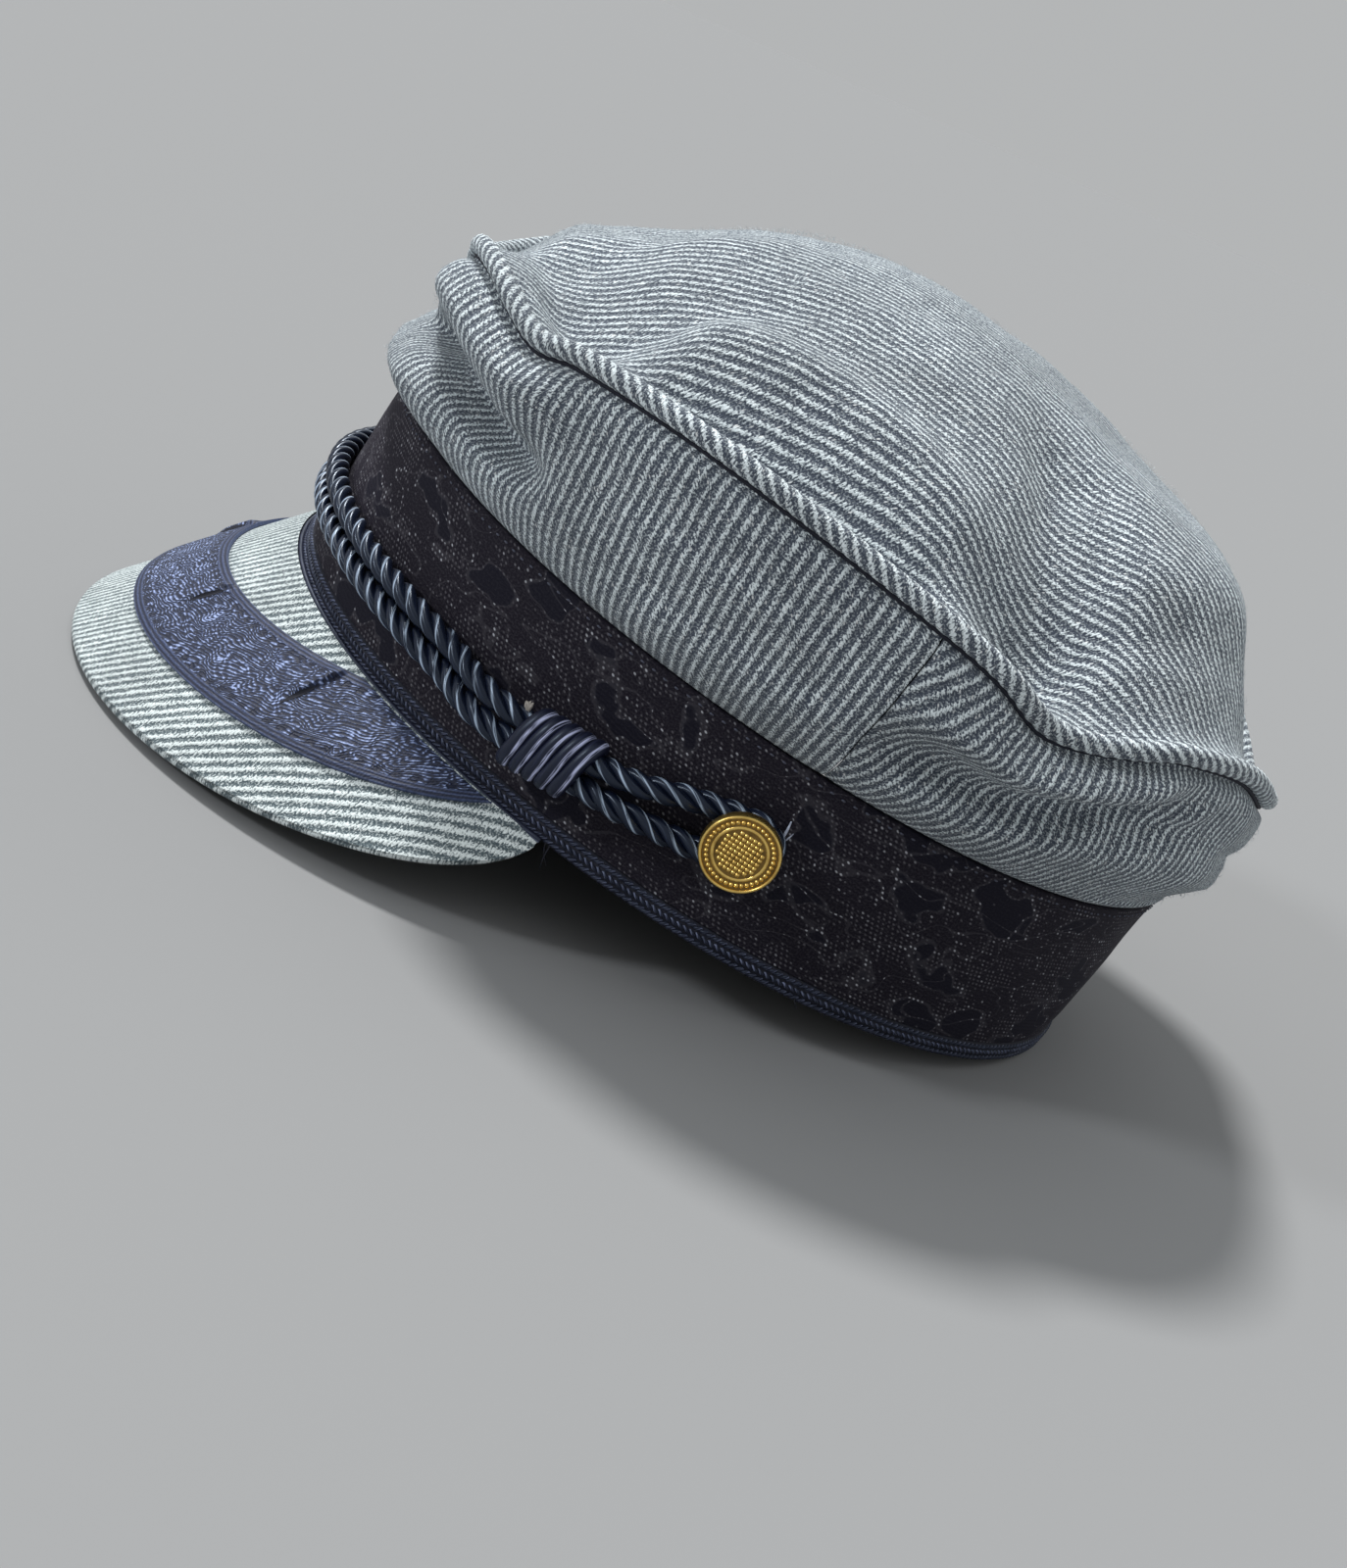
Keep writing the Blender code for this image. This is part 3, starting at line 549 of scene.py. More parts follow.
def striped_cloth(name, light, dark, period=RIB_PERIOD, stitch=1.05, depth=0.35, width=0.5):
    """Ribbed cloth: pale ribs of short slanted stitches on a ground heathered light and dark."""
    g = Graph(name)
    u, v = g.uv()
    wander = g.noise(g.place(u, v, 5.0, 16.0), detail=2.0)
    u_moved = u + wander * 0.8 - 0.4
    rib = g.wave(u_moved, period)
    slant = v + u_moved * 0.8
    twill = g.wave(slant, stitch)
    threads = g.cloud(u_moved - v * 0.4, slant, 0.95, 0.42, 3.0, 0.33, 0.67, detail=2.0)
    flecks = g.cloud(u_moved, v, 0.42, 0.50, 8.0, 0.34, 0.66)
    patches = g.cloud(u, v, 2.2, 5.0, 11.0, 0.35, 0.65, detail=2.0)
    worn = g.noise(g.place(u, v, 34.0, 46.0, 5.0), detail=3.0)
    strength = rib * 0.62
    for part, weight in ((twill, 0.16), (threads, 0.44), (flecks, 0.34), (patches, 0.16)):
        strength = strength + part * weight - weight / 2
    heather = tuple(d + (c - d) * 0.26 for c, d in zip(light, dark))
    ground = g.mix(g.step(flecks, 0.50, 1.0), dark, heather)
    colour = g.mix(g.step(strength, width - 0.22, width + 0.26), ground, light)
    near, lottery = g.cells(g.place(u, slant, 0.85, 0.70, 4.0))
    lucky = g.add("ShaderNodeSeparateColor", {0: lottery})[0]
    speck = g.step(near, 0.15, 0.45, 1.0, 0.0) * g.step(lucky, 0.84, 0.94)
    pale = tuple(min(1.0, c * 1.22) for c in light)
    colour = g.mix(speck * 0.75, colour, pale)
    shade = g.step(worn, 0.3, 0.72, 0.84, 1.12)
    tone = g.add("ShaderNodeCombineColor", {0: shade, 1: shade, 2: shade})[0]
    toned = g.mix(1.0, colour, tone, "MULTIPLY")
    height = rib * 0.7 + twill * 0.14 + threads * 0.3
    return g.finish(
        toned, height, depth, 0.92, Specular_IOR_Level=0.25, Sheen_Weight=0.22,
        Sheen_Roughness=0.5, Sheen_Tint=(0.85, 0.92, 0.95),
    )


def dotted_jacquard(name, ground, solid, thread, bright, leaf=30.0):
    """Dark trim: rows of tiny silvery stitches, plain leaves and stems drawn in broken lines."""
    g = Graph(name)
    u, v = g.uv()
    warp = g.noise(g.place(u, v, leaf * 0.5, leaf * 0.42), detail=2.0) - 0.5
    bent_u = u + warp * (leaf * 1.1)
    bent_v = v - warp * (leaf * 0.8)
    leaves, _ = g.cells(g.place(bent_u, bent_v, leaf * 0.78, leaf * 0.38), 0.9)
    inside = g.step(leaves, 0.34, 0.38, 1.0, 0.0)
    outline = g.step(abs(leaves - 0.37), 0.012, 0.040, 1.0, 0.0)
    stems = g.noise(g.place(u, v, leaf * 0.62, leaf * 0.30, 7.0), detail=1.0, distortion=0.6)
    stem = g.step(abs(stems - 0.52), 0.004, 0.014, 1.0, 0.0)
    lines = g.math("MAXIMUM", outline, stem)
    near, lottery = g.cells(g.place(u + v * 0.55, v, 1.25, 1.0, 2.0), 0.16)
    chance, chance_of_glint, _ = g.add("ShaderNodeSeparateColor", {0: lottery})
    region = g.noise(g.place(u, v, leaf * 0.42, leaf * 0.30, 4.0), detail=2.0)
    dense = g.step(region, 0.40, 0.58, 0.10, 0.85) * (1.0 - inside * 0.95)
    wanted = g.math("MAXIMUM", dense, lines * 0.80)
    dot = g.step(near, 0.16, 0.34, 1.0, 0.0) * g.step(wanted - chance, 0.0, 0.06)
    glint = g.step(chance_of_glint + lines * 0.25, 0.80, 1.12)
    rep = g.wave(v + u * 0.12, 0.95)
    fuzz = g.cloud(u, v, 0.5, 0.4, 9.0, 0.4, 0.66)
    weave = (rep * 0.5 + 0.5) * (1.0 - inside * 0.6)
    colour = g.mix(inside, ground, solid)
    colour = g.mix(weave * fuzz * 0.22, colour, thread)
    colour = g.mix(lines * 0.22, colour, thread)
    colour = g.mix(dot * 0.85, colour, g.mix(glint, thread, bright))
    height = dot * 0.6 + rep * 0.3 + inside * 0.4
    return g.finish(
        colour, height, 0.16, 0.75, Specular_IOR_Level=0.14, Sheen_Weight=0.03,
        Sheen_Roughness=0.5, Sheen_Tint=(0.45, 0.42, 0.6),
    )


def brocade(name, dark, middle, pale, width, border=2.3):
    """Blue ribbon woven in relief: curls of pale thread, hatched between, with ridged borders."""
    g = Graph(name)
    u, v = g.uv()
    curls = g.noise(g.place(u, v, 8.0, 7.0), detail=1.0, distortion=0.8)
    ring = g.wave(curls, 0.090)
    hatch = g.wave(v + u * 0.15 + curls * 7.0, 0.90)
    cross = g.wave(u, 0.70)
    fine = g.cloud(u, v, 0.75, 0.55, 3.0, 0.34, 0.66, detail=2.0)
    leaves, _ = g.cells(g.place(u, v, 5.2, 5.6, 5.0), 0.8)
    petal = g.step(leaves + curls * 0.5 - 0.25, 0.22, 0.34, 1.0, 0.0)
    figure = ring * 0.34 + petal * 0.20 + hatch * 0.46 + fine * 0.26 - 0.27
    raised = g.step(figure, 0.10, 0.78)
    edge = g.math("MINIMUM", v, width - v)
    bordered = g.step(edge, border - 0.3, border + 0.2, 1.0, 0.0)
    ridges = g.wave(edge, 1.05) * (fine * 0.4 + 0.6)
    scallop = g.step(g.wave(u, 3.6), 0.35, 0.75)
    tooth = scallop * g.step(edge, border, border + 0.3) * g.step(edge, 3.6, 4.5, 1.0, 0.0)
    raised = g.mix(bordered, raised, ridges * 0.42) - tooth * 0.7
    low = g.mix(g.step(raised, 0.0, 0.55), dark, middle)
    shining = g.step(raised, 0.50, 1.0) * (cross * 0.35 + 0.65)
    height = raised * 0.8 + hatch * 0.15 + cross * 0.1
    return g.finish(
        g.mix(shining, low, pale), height, 0.30, 0.55, Specular_IOR_Level=0.35,
        Sheen_Weight=0.08, Sheen_Roughness=0.4, Sheen_Tint=(0.5, 0.6, 0.9),
    )


def satin(name, base, pale, size=0.5, gloss=0.25, streak=0.80, painted_highlight=None):
    """Satin thread that shines in lines. Its painted highlight is a pale line painted along the
    crest: place, half width, colour.
    """
    g = Graph(name)
    u, v = g.uv()
    strands = g.noise(g.place(u, v + u * 0.10, 9.0, size), detail=2.0, roughness=0.6)
    colour = g.mix(g.step(strands, 0.50, 0.78, 0.0, 0.7), base, pale)
    # Painted highlight: a pale line painted along each ply's crest, standing in for the lights'
    # shine on the satin.
    if painted_highlight:
        at, half, bright = painted_highlight
        broken = g.cloud(u, v, 3.4, 0.30, 5.0, 0.34, 0.60)
        highlight_line = g.step(abs(v - at), half * 0.3, half, 1.0, 0.0)
        colour = g.mix(highlight_line * broken, colour, bright)
    rough_by = g.step(strands, 0.3, 0.7, gloss, gloss + 0.12)
    along = g.add("ShaderNodeTangent", direction_type="UV_MAP", uv_map="cloth")[0]
    return g.finish(
        colour, strands, 0.014, rough_by, Specular_IOR_Level=0.5,
        Specular_Tint=(0.72, 0.84, 1.0), Anisotropic=streak, Tangent=along,
    )


def brass(name, bright, dull, gloss):
    """Stamped brass, with random patches of bright polish and duller, rougher tarnish."""
    g = Graph(name)
    u, v = g.uv()
    patina = g.noise(g.place(u, v, 3.2, 3.2), detail=4.0, roughness=0.6)
    scratches = g.noise(g.place(u, v, 0.25, 3.0, 6.0), detail=1.0)
    colour = g.mix(g.step(patina, 0.45, 0.75), bright, dull)
    duller = g.step(patina, 0.3, 0.75, gloss, gloss + 0.14) + scratches * 0.06
    return g.finish(colour, scratches, 0.008, duller, Metallic=1.0)


def plain_thread(name, colour):
    """Matt spun thread."""
    g = Graph(name)
    u, v = g.uv()
    spun = g.noise(g.place(u, v, 0.8, 0.4), detail=1.0)
    darker = tuple(c * 0.55 for c in colour)
    return g.finish(g.mix(g.step(spun, 0.3, 0.7), darker, colour), spun, 0.08, 0.8)


# Camera and light


def make_camera():
    """The photograph's own angle, distance and lens."""
    azimuth, elevation, roll = (math.radians(a) for a in (92.628, 20.009, 34.985))
    distance, aside, above, lens_px = 0.51513, -0.002427, -0.004161, 2197.06
    level = Vector((math.cos(azimuth), math.sin(azimuth), 0.0))
    ahead = Vector((math.sin(azimuth), -math.cos(azimuth), 0.0))
    back = ahead * math.cos(elevation) + Vector(UP) * math.sin(elevation)
    high = back.cross(level)
    right = level * math.cos(roll) + high * math.sin(roll)
    up = high * math.cos(roll) - level * math.sin(roll)
    axes = Matrix((right, up, back)).transposed().to_4x4()
    where = Matrix.Translation(back * distance + right * aside + up * above)
    data = bpy.data.cameras.new("camera")
    data.sensor_fit, data.sensor_height = "VERTICAL", 36.0
    data.lens = lens_px * 36.0 / 1600.0
    data.clip_start = 0.01
    camera = bpy.data.objects.new("camera", data)
    bpy.context.scene.collection.objects.link(camera)
    camera.matrix_world = PLACE @ where @ axes
    bpy.context.scene.camera = camera


def make_stage():
    """A wide pale floor under an even sky, with a soft main light and two weaker ones."""
    g = Graph("pale_floor")
    g.shader.inputs["Base Color"].default_value = (0.285, 0.288, 0.292, 1.0)
    g.shader.inputs["Roughness"].default_value = 0.9
    g.shader.inputs["Specular IOR Level"].default_value = 0.1
    reach, steps = 12.0, 96
    turns = [2 * math.pi * i / steps for i in range(steps)]
    points = [(reach * math.cos(t), reach * math.sin(t), 0.0) for t in turns]
    mesh = bpy.data.meshes.new("floor")
    mesh.from_pydata(points, [], [list(range(steps))])
    mesh.materials.append(g.material)
    floor = bpy.data.objects.new("floor", mesh)
    bpy.context.scene.collection.objects.link(floor)
    floor.location.z = -0.0002
    world = bpy.data.worlds.new("room")
    world.use_nodes = True
    world.node_tree.nodes["Background"].inputs[0].default_value = (0.97, 0.99, 1.0, 1.0)
    world.node_tree.nodes["Background"].inputs[1].default_value = 0.47
    bpy.context.scene.world = world
    # Each light's name, the way to it, its strength, its width in degrees and its colour
    lights = (
        ("main", (-0.30, -0.42, 0.90), 3.14, 10.0, (1.0, 1.0, 0.99)),
        ("above", (-0.10, 0.35, 1.15), 0.30, 60.0, (0.97, 1.0, 1.0)),
        ("near", (0.60, -0.95, 0.62), 1.00, 9.0, (0.94, 0.97, 1.0)),
    )
    for name, spot, strength, softness, colour in lights:
        data = bpy.data.lights.new(name, "SUN")
        data.energy = strength
        data.angle = math.radians(softness)
        data.color = colour
        light = bpy.data.objects.new(name, data)
        bpy.context.scene.collection.objects.link(light)
        light.location = spot
        light.rotation_euler = Vector(spot).to_track_quat("Z", "Y").to_euler()
    bpy.context.scene.view_settings.view_transform = "Standard"


# Pieces


def top_height(x, y):
    """The top's height and place over any point inside the seam."""
    angles = np.linspace(-180, 180, 721)
    rim = seam_point(angles, PIPING_DIAMETER / 2 + GAP)
    ahead = np.arctan2(rim[:, 0], -(rim[:, 1] - CROWN_SETBACK))
    reach = np.hypot(rim[:, 0], rim[:, 1] - CROWN_SETBACK)
    way = np.arctan2(x, -(y - CROWN_SETBACK))
    angle = np.interp(way, ahead, angles)
    out = np.hypot(x, y - CROWN_SETBACK) / np.interp(way, ahead, reach)
    return top_point(angle, np.clip(out, 0.0, 1.0))[..., 2]


def across_top(x, y):
    """Length along the cloth from the middle line, at each place of the top."""
    xs = np.arange(-110.0, 110.1, 1.0)
    ys = np.arange(-116.0, 116.1, 2.0)
    gx, gy = np.meshgrid(xs, ys)
    rise = np.gradient(top_height(gx, gy), xs, axis=1)
    run = np.cumsum(np.sqrt(1 + np.clip(rise, -1.2, 1.2) ** 2), axis=1)
    run -= run[:, [len(xs) // 2]]
    fx = np.clip((x - xs[0]) / 1.0, 0, len(xs) - 1.001)
    fy = np.clip((y - ys[0]) / 2.0, 0, len(ys) - 1.001)
    i, j = fy.astype(int), fx.astype(int)
    a, b = fy - i, fx - j
    low = run[i, j] * (1 - b) + run[i, j + 1] * b
    high = run[i + 1, j] * (1 - b) + run[i + 1, j + 1] * b
    return low * (1 - a) + high * a


def top_grid(count):
    """Angles and shares out of a grid that covers a disc in even squares."""
    line = np.linspace(-1, 1, count)
    a, b = np.meshgrid(line, line)
    x, y = a * np.sqrt(1 - b * b / 2), b * np.sqrt(1 - a * a / 2)
    return np.degrees(np.arctan2(x, -y)), np.clip(np.hypot(x, y), 0, 1)


def make_crown_top(cloth):
    """The crown's creased top, outside and inside."""
    parts = []
    for count, inside in ((171, False), (61, True)):
        angle, out = top_grid(count)
        points = top_point(angle, out)
        uv = np.stack([across_top(points[..., 0], points[..., 1]), points[..., 1]], -1)
        if inside:
            points[..., 2] -= CLOTH_WALL
        else:
            lift = rough(points, 30.0, 0.9, 1.0) + rough(points, 9.0, 0.30, 2.0)
            points[..., 2] += lift * ease((1 - out) * 9)
        parts.append(patch(points, uv, flip=inside))
    return build("crown_top_cloth", parts, [cloth], "crown_top")


def lean_of_ribs(angle):
    """How far the back panel's ribs lean: most beside the side seams, none further back."""
    from_seam = np.minimum(angle - SIDE_SEAM_ANGLE, 360 - SIDE_SEAM_ANGLE - angle)
    side = np.where(angle > 180, -1.0, 1.0)
    return side * 0.50 * np.exp(-((np.maximum(from_seam, 0) / 30.0) ** 2))


def make_side_panel(end, angle0, angle1, columns, cloth):
    """The front or back panel of the side wall, outside and inside."""
    half_gap = math.degrees(GAP / 2 / CROWN_HALF_WIDTH)
    angles = np.linspace(angle0 + half_gap, angle1 - half_gap, columns + 1)
    parts = []
    for count, offset in ((46, 0.0), (12, -CLOTH_WALL)):
        even = np.linspace(0, 1, count + 1)
        ups = 0.5 * even + 0.25 * (1 - np.cos(math.pi * even))
        up, angle = np.meshgrid(ups, angles, indexing="ij")
        points = side_point(angle, up, np.full(up.shape, offset))
        if offset == 0.0:
            calm = ease(up * 7) * ease((1 - up) * 7)
            lift = rough(points, 34.0, 1.0, 3.0) + rough(points, 10.0, 0.32, 4.0)
            seam = 0.8 * np.exp(-np.minimum(angle - angle0, angle1 - angle) / 0.7)
            groove = 2.4 * np.exp(-(((1 - up) * 30) ** 2)) + 0.5 * np.exp(-up * 30)
            points += outward(angle) * (lift * calm - seam - groove)[..., None]
        run = run_along(points[count // 2])
        rise = run_along(points)
        u = run[None] + 0 * up
        if end == "back":
            tilt = np.arctan(lean_of_ribs(angles))
            steps = np.diff(run) * np.cos((tilt[1:] + tilt[:-1]) / 2)
            u = np.r_[0, np.cumsum(steps)][None] - np.sin(tilt)[None] * rise
        parts.append(patch(points, np.stack([u, rise], -1), flip=offset != 0.0))
    return build(f"crown_{end}_cloth", parts, [cloth], f"crown_{end}_panel")


def make_piping(cloth, dark):
    """The piping of bias-cut ribbed cloth, and a dark tube under it as painted shadow in the seam
    gap.
    """
    line, run = spread(seam_point(ALL_ROUND), 900)
    sides, radius, twist, leads = 14, PIPING_DIAMETER * 0.515, 3.1, 4
    turn = 2 * math.pi * np.arange(sides) / sides
    turns = round(run[-1] / twist)
    phase = 2 * math.pi * np.arange(len(line))[:, None] * turns / len(line)
    swell = radius * (0.96 + 0.045 * np.cos(phase - leads * turn[None]))
    points, quads, corners = tube(line, UP, radius, sides, swell=swell)
    round_by = corners[..., 1] * leads / (2 * math.pi * radius)
    u = RIB_PERIOD * (corners[..., 0] * turns / run[-1] - round_by)
    corners = np.stack([u, 0.7 * (corners[..., 0] + corners[..., 1])], -1)
    # A thin dark tube under the piping: painted shadow standing in for the shade in the seam gap.
    seam, _ = spread(seam_point(ALL_ROUND, 0.5, radius + 0.25), 720)
    parts = [(points, quads, corners), tube(seam, UP, 0.55, 6)]
    materials = [cloth, dark]
    return build("crown_piping_bias", parts, materials, "crown_piping", (0, 1))


def make_band(cloth):
    """The dark band, outside and inside, with slight unevenness outside."""
    columns = 440
    angles = np.linspace(0, 360, columns, endpoint=False)
    low, high = HEM_HEIGHT + GAP, BAND_HEIGHT
    outer = [(0.0, height) for height in np.linspace(low, high, 25)]
    inner = [(-BAND_WALL, height) for height in np.linspace(high, low, 7)]
    proud, height = round_band(outer + inner + [outer[0]], angles)
    points = band_point(angles, proud, height)
    share = (height - low) / (high - low)
    calm = ease(share * 6) * ease((1 - share) * 6) * (proud == 0.0)
    lift = rough(points, 26.0, 0.7, 5.0) * calm
    points += outward(angles)[None] * np.minimum(lift, 0.25)[..., None]
    run = run_along(band_point(np.linspace(0, 360, columns + 1), 0.0, low))
    uv = np.stack(np.broadcast_arrays(run[None], height[:, :1]), -1)
    parts = [patch(points, uv, closed=True)]
    return build("headband_jacquard", parts, [cloth], "headband")


def twisted(line, near, radius, plies, turns, sides):
    """Plies wound round a closed line, which together fill a round of that radius."""
    _, side, across = line_axes(line, near)
    ply = radius * (0.485 if plies == 3 else 0.52)
    arm = radius - ply
    parts = []
    for k in range(plies):
        turn = 2 * math.pi * (turns * np.arange(len(line)) / len(line) + k / plies)
        path = line + side * (arm * np.cos(turn))[:, None] + across * (arm * np.sin(turn))[:, None]
        radial = side * np.cos(turn)[:, None] + across * np.sin(turn)[:, None]
        parts.append(tube(path, radial, ply, sides))
    return parts


def make_hem(ground, thread):
    """A turned edge with braided ridges of thread, each twisted the other way from the last."""
    angles = np.linspace(0, 360, 240, endpoint=False)
    core, low, high = HEM_PROUD - 0.45, 0.1, HEM_HEIGHT
    profile = ((-BAND_WALL, high), (core, high), (core, low), (-BAND_WALL, low), (-BAND_WALL, high))
    proud, height = round_band(profile, angles)
    points = band_point(angles, proud, height)
    run = np.linspace(0, 604.0, len(angles) + 1)
    uv = np.stack(np.broadcast_arrays(run[None], height[:, :1]), -1)
    parts = [patch(points, uv, closed=True, flip=True)]
    ridges = 3
    radius = HEM_HEIGHT / ridges / 2
    for i in range(ridges):
        middle = band_point(ALL_ROUND + 180, HEM_PROUD - radius * 0.8, radius + i * 2 * radius)
        line, length = spread(middle, 760)
        turns = round(length[-1] / 3.0) * (1 if i % 2 else -1)
        parts += twisted(line, outward(angle_at(line)), radius, 2, turns, 6)
    join = np.linspace(-VISOR_SPAN, VISOR_SPAN, 400)
    line = band_point(join, HEM_PROUD + 0.35, 0.25)
    parts.append(tube(line, outward(join), 0.65, 8, closed=False))
    which = [0] + [1] * (len(parts) - 1)
    return build("hem_braid", parts, [ground, thread], "headband_hem", which)


def flattened_visor(angles):
    """Where each of the visor's lines starts and heads once its cloth is laid flat."""
    down, _ = visor_axes(angles)
    start = band_point(angles, HEM_PROUD + GAP, -GAP)
    chord = np.diff(start, axis=0)
    length = np.linalg.norm(chord, axis=1)
    middle = down[1:] + down[:-1]
    middle /= np.linalg.norm(middle, axis=1, keepdims=True)
    slant = np.arccos(np.clip((chord * middle).sum(1) / length, -1, 1))
    bend = np.arccos(np.clip((down[1:] * down[:-1]).sum(1), -1, 1))
    heading = np.r_[0, np.cumsum(bend)]
    heading -= np.interp(0.0, angles, heading)
    between = (heading[1:] + heading[:-1]) / 2
    way = between - slant + math.pi / 2
    x = np.r_[0, np.cumsum(length * np.cos(way))]
    y = np.r_[0, np.cumsum(length * np.sin(way))]
    return x - np.interp(0.0, angles, x), y - np.interp(0.0, angles, y), heading


def visor_angles(limit, columns):
    """Angles from one end of the visor to the other, closest together at its ends."""
    return limit * np.sin(math.pi * (np.arange(columns + 1) / columns - 0.5))


def make_visor(cloth):
    """The visor's cloth: over the board, round its edge and back along its underside."""
    angles = visor_angles(VISOR_SPAN * 0.9975, 180)
    half = VISOR_BOARD / 2
    shares = np.r_[np.linspace(0, 0.97, 30), 0.985]
    turns = np.linspace(math.pi / 2, -math.pi / 2, 9)[1:-1]
    level = 0 * shares
    along, angle = np.meshgrid(np.r_[shares, 1 + 0 * turns, shares[::-1]], angles, indexing="ij")
    out = np.r_[level, half * np.cos(turns) - half, level][:, None] + 0 * angle
    lift = np.r_[level + half, half * np.sin(turns), level - half][:, None] + 0 * angle
    down, _ = visor_axes(angle)
    reach = visor_reach(angle)
    thin = np.clip(reach / 12.0, 0.15, 1.0)
    points = visor_point(angle, along, lift * thin - half)
    points += down * (np.maximum(out, -reach * 0.2))[..., None]
    x, y, heading = flattened_visor(angles)
    far = reach * along + out
    uv = np.stack([x + np.sin(heading) * far, y - np.cos(heading) * far], -1)
    return build("visor_cover", [patch(points, uv, flip=True)], [cloth], "visor")


def ribbon_span(reach):
    """Where the ribbon starts and ends on the visor's lines, as shares of their reach."""
    inner = np.maximum(1 - (RIBBON_MARGIN + RIBBON_WIDTH) / reach, 0.6 / reach)
    return inner, 1 - RIBBON_MARGIN / reach


def pleat_lift(angle, along):
    """A sewn tuck at each pleat: a raised lap that flattens out away from its slit."""
    total = 0.0 * angle * along
    for pleat in PLEAT_ANGLES:
        side = 1.0 if pleat >= 0 else -1.0
        arc = side * np.radians(angle - pleat + side * PLEAT_SKEW * along) * BAND_HALF_LENGTH
        depth = ease((0.62 - along) * 4) * ease(along * 12 + 0.2)
        lap = ease(0.5 - arc / 1.2) * np.exp(-((arc / PLEAT_LENGTH) ** 2) * 4)
        total += depth * PLEAT_RAISE * lap
    return total


def slit_painted_shadow(pleat):
    """A dark patch in each tuck's slit, a painted shadow seen as a short lens-shaped opening."""
    side = 1.0 if pleat >= 0 else -1.0
    start, end = (0.12, 0.50) if abs(pleat) < 40 else (0.30, 0.66)
    across, over = np.meshgrid(np.linspace(start, end, 13), np.linspace(-1, 1, 5), indexing="ij")
    lens = np.abs(np.sin(math.pi * (across - start) / (end - start))) ** 0.7
    turn = np.degrees((0.45 + 0.50 * over * lens) / BAND_HALF_LENGTH)
    angle = pleat - side * PLEAT_SKEW * across + side * turn
    inner, outer = ribbon_span(visor_reach(angle))
    along = inner + (outer - inner) * across
    points = visor_point(angle, along, GAP + RIBBON_WALL + pleat_lift(angle, across) + 0.12)
    return patch(points, np.stack([across, over], -1), flip=side > 0)


def make_ribbon(cloth, dark):
    """The ribbon on the visor, with its tucks, its underside, its two edges and dark patches of
    painted shadow in its slits.
    """
    least = RIBBON_MARGIN * 1.02
    limit = VISOR_SPAN * math.sqrt(1 - (least / VISOR_DEPTH) ** (1 / VISOR_FULLNESS))
    angles = visor_angles(limit, 900)
    reach = visor_reach(angles)
    inner, outer = ribbon_span(reach)
    across, angle = np.meshgrid(np.linspace(0, 1, 25), angles, indexing="ij")
    along = inner + (outer - inner) * across
    waves = 0.14 * np.sin(math.pi * across) * np.sin(np.radians(angle) * 31)
    edge = -0.35 * (np.exp(-across * 25) + np.exp(-(1 - across) * 25))
    points = visor_point(angle, along, GAP + RIBBON_WALL + pleat_lift(angle, across) + waves + edge)
    run = run_along(visor_point(angles, (inner + outer) / 2, 1.0))
    v = RIBBON_WIDTH - (outer - along) * reach
    uv = np.stack(np.broadcast_arrays(run[None], v), -1)
    under = visor_point(angle, along, np.full(angle.shape, GAP * 0.5))
    parts = [patch(points, uv, flip=True), patch(under, uv)]
    for row in (0, -1):
        wall = np.stack([under[row], points[row]])
        parts.append(patch(wall, np.stack([uv[row], uv[row]]), flip=row == -1))
    # Dark patches in the slits: painted shadow of the tucks.
    parts += [slit_painted_shadow(pleat) for pleat in PLEAT_ANGLES]
    which = [0] * 4 + [1] * len(PLEAT_ANGLES)
    materials = [cloth, dark]
    return build("visor_ribbon_brocade", parts, materials, "visor_ribbon", which)


def cord_stand(angle):
    """How far the cord's middle stands off the band: further where the knots lift it."""
    rest = CORD_DIAMETER / 2 + GAP
    raised = rest + KNOT_WRAP + KNOT_CLEARANCE
    from_knot = np.radians(np.abs(np.abs(angle) - KNOT_ANGLE)) * BAND_HALF_LENGTH
    near = ease((KNOT_LENGTH + CORD_SPACING - from_knot) / (KNOT_LENGTH / 2))
    return rest + (raised - rest) * near


def cord_middle(angle):
    """The place between the cord's two strands, and half their distance."""
    away = np.abs(angle)
    height = curve_through(CORD_ROUTE, away, 1)
    return band_point(angle, cord_stand(angle), height), curve_through(CORD_ROUTE, away, 2)


def cord_line():
    """The closed line of the whole cord: upper strand, loop, lower strand, loop."""
    end = CORD_ROUTE[-1][0]
    arc = math.radians(2 * end) * (BAND_HALF_WIDTH + BAND_HALF_LENGTH) / 2
    angles = np.linspace(end, -end, round(arc / CORD_SPACING) + 1)
    strands = []
    for side in (1, -1):
        middle, half_gap = cord_middle(-side * angles)
        strands.append(middle + side * half_gap[:, None] * UP)
    loops = []
    last_angle, last_height, half_gap = CORD_ROUTE[-1]
    turn = math.pi / 2 - math.pi * np.arange(1, 8) / 8
    for side in (1, -1):
        reach = np.degrees(half_gap * np.cos(turn) / BAND_HALF_WIDTH)
        angle = side * (last_angle + reach)
        loops.append(band_point(angle, cord_stand(angle), last_height + half_gap * np.sin(turn)))
    return np.vstack([strands[0], loops[0], strands[1], loops[1][::-1]])


def make_cord(thread):
    """The whole cord, as three plies wound round each other."""
    line, length = spread(smooth_loop(cord_line()), 1080)
    turns = round(length[-1] / 15.4)
    parts = twisted(line, outward(angle_at(line)), CORD_DIAMETER / 2, 3, turns, 12)
    return build("cord_twisted", parts, [thread], "cord")


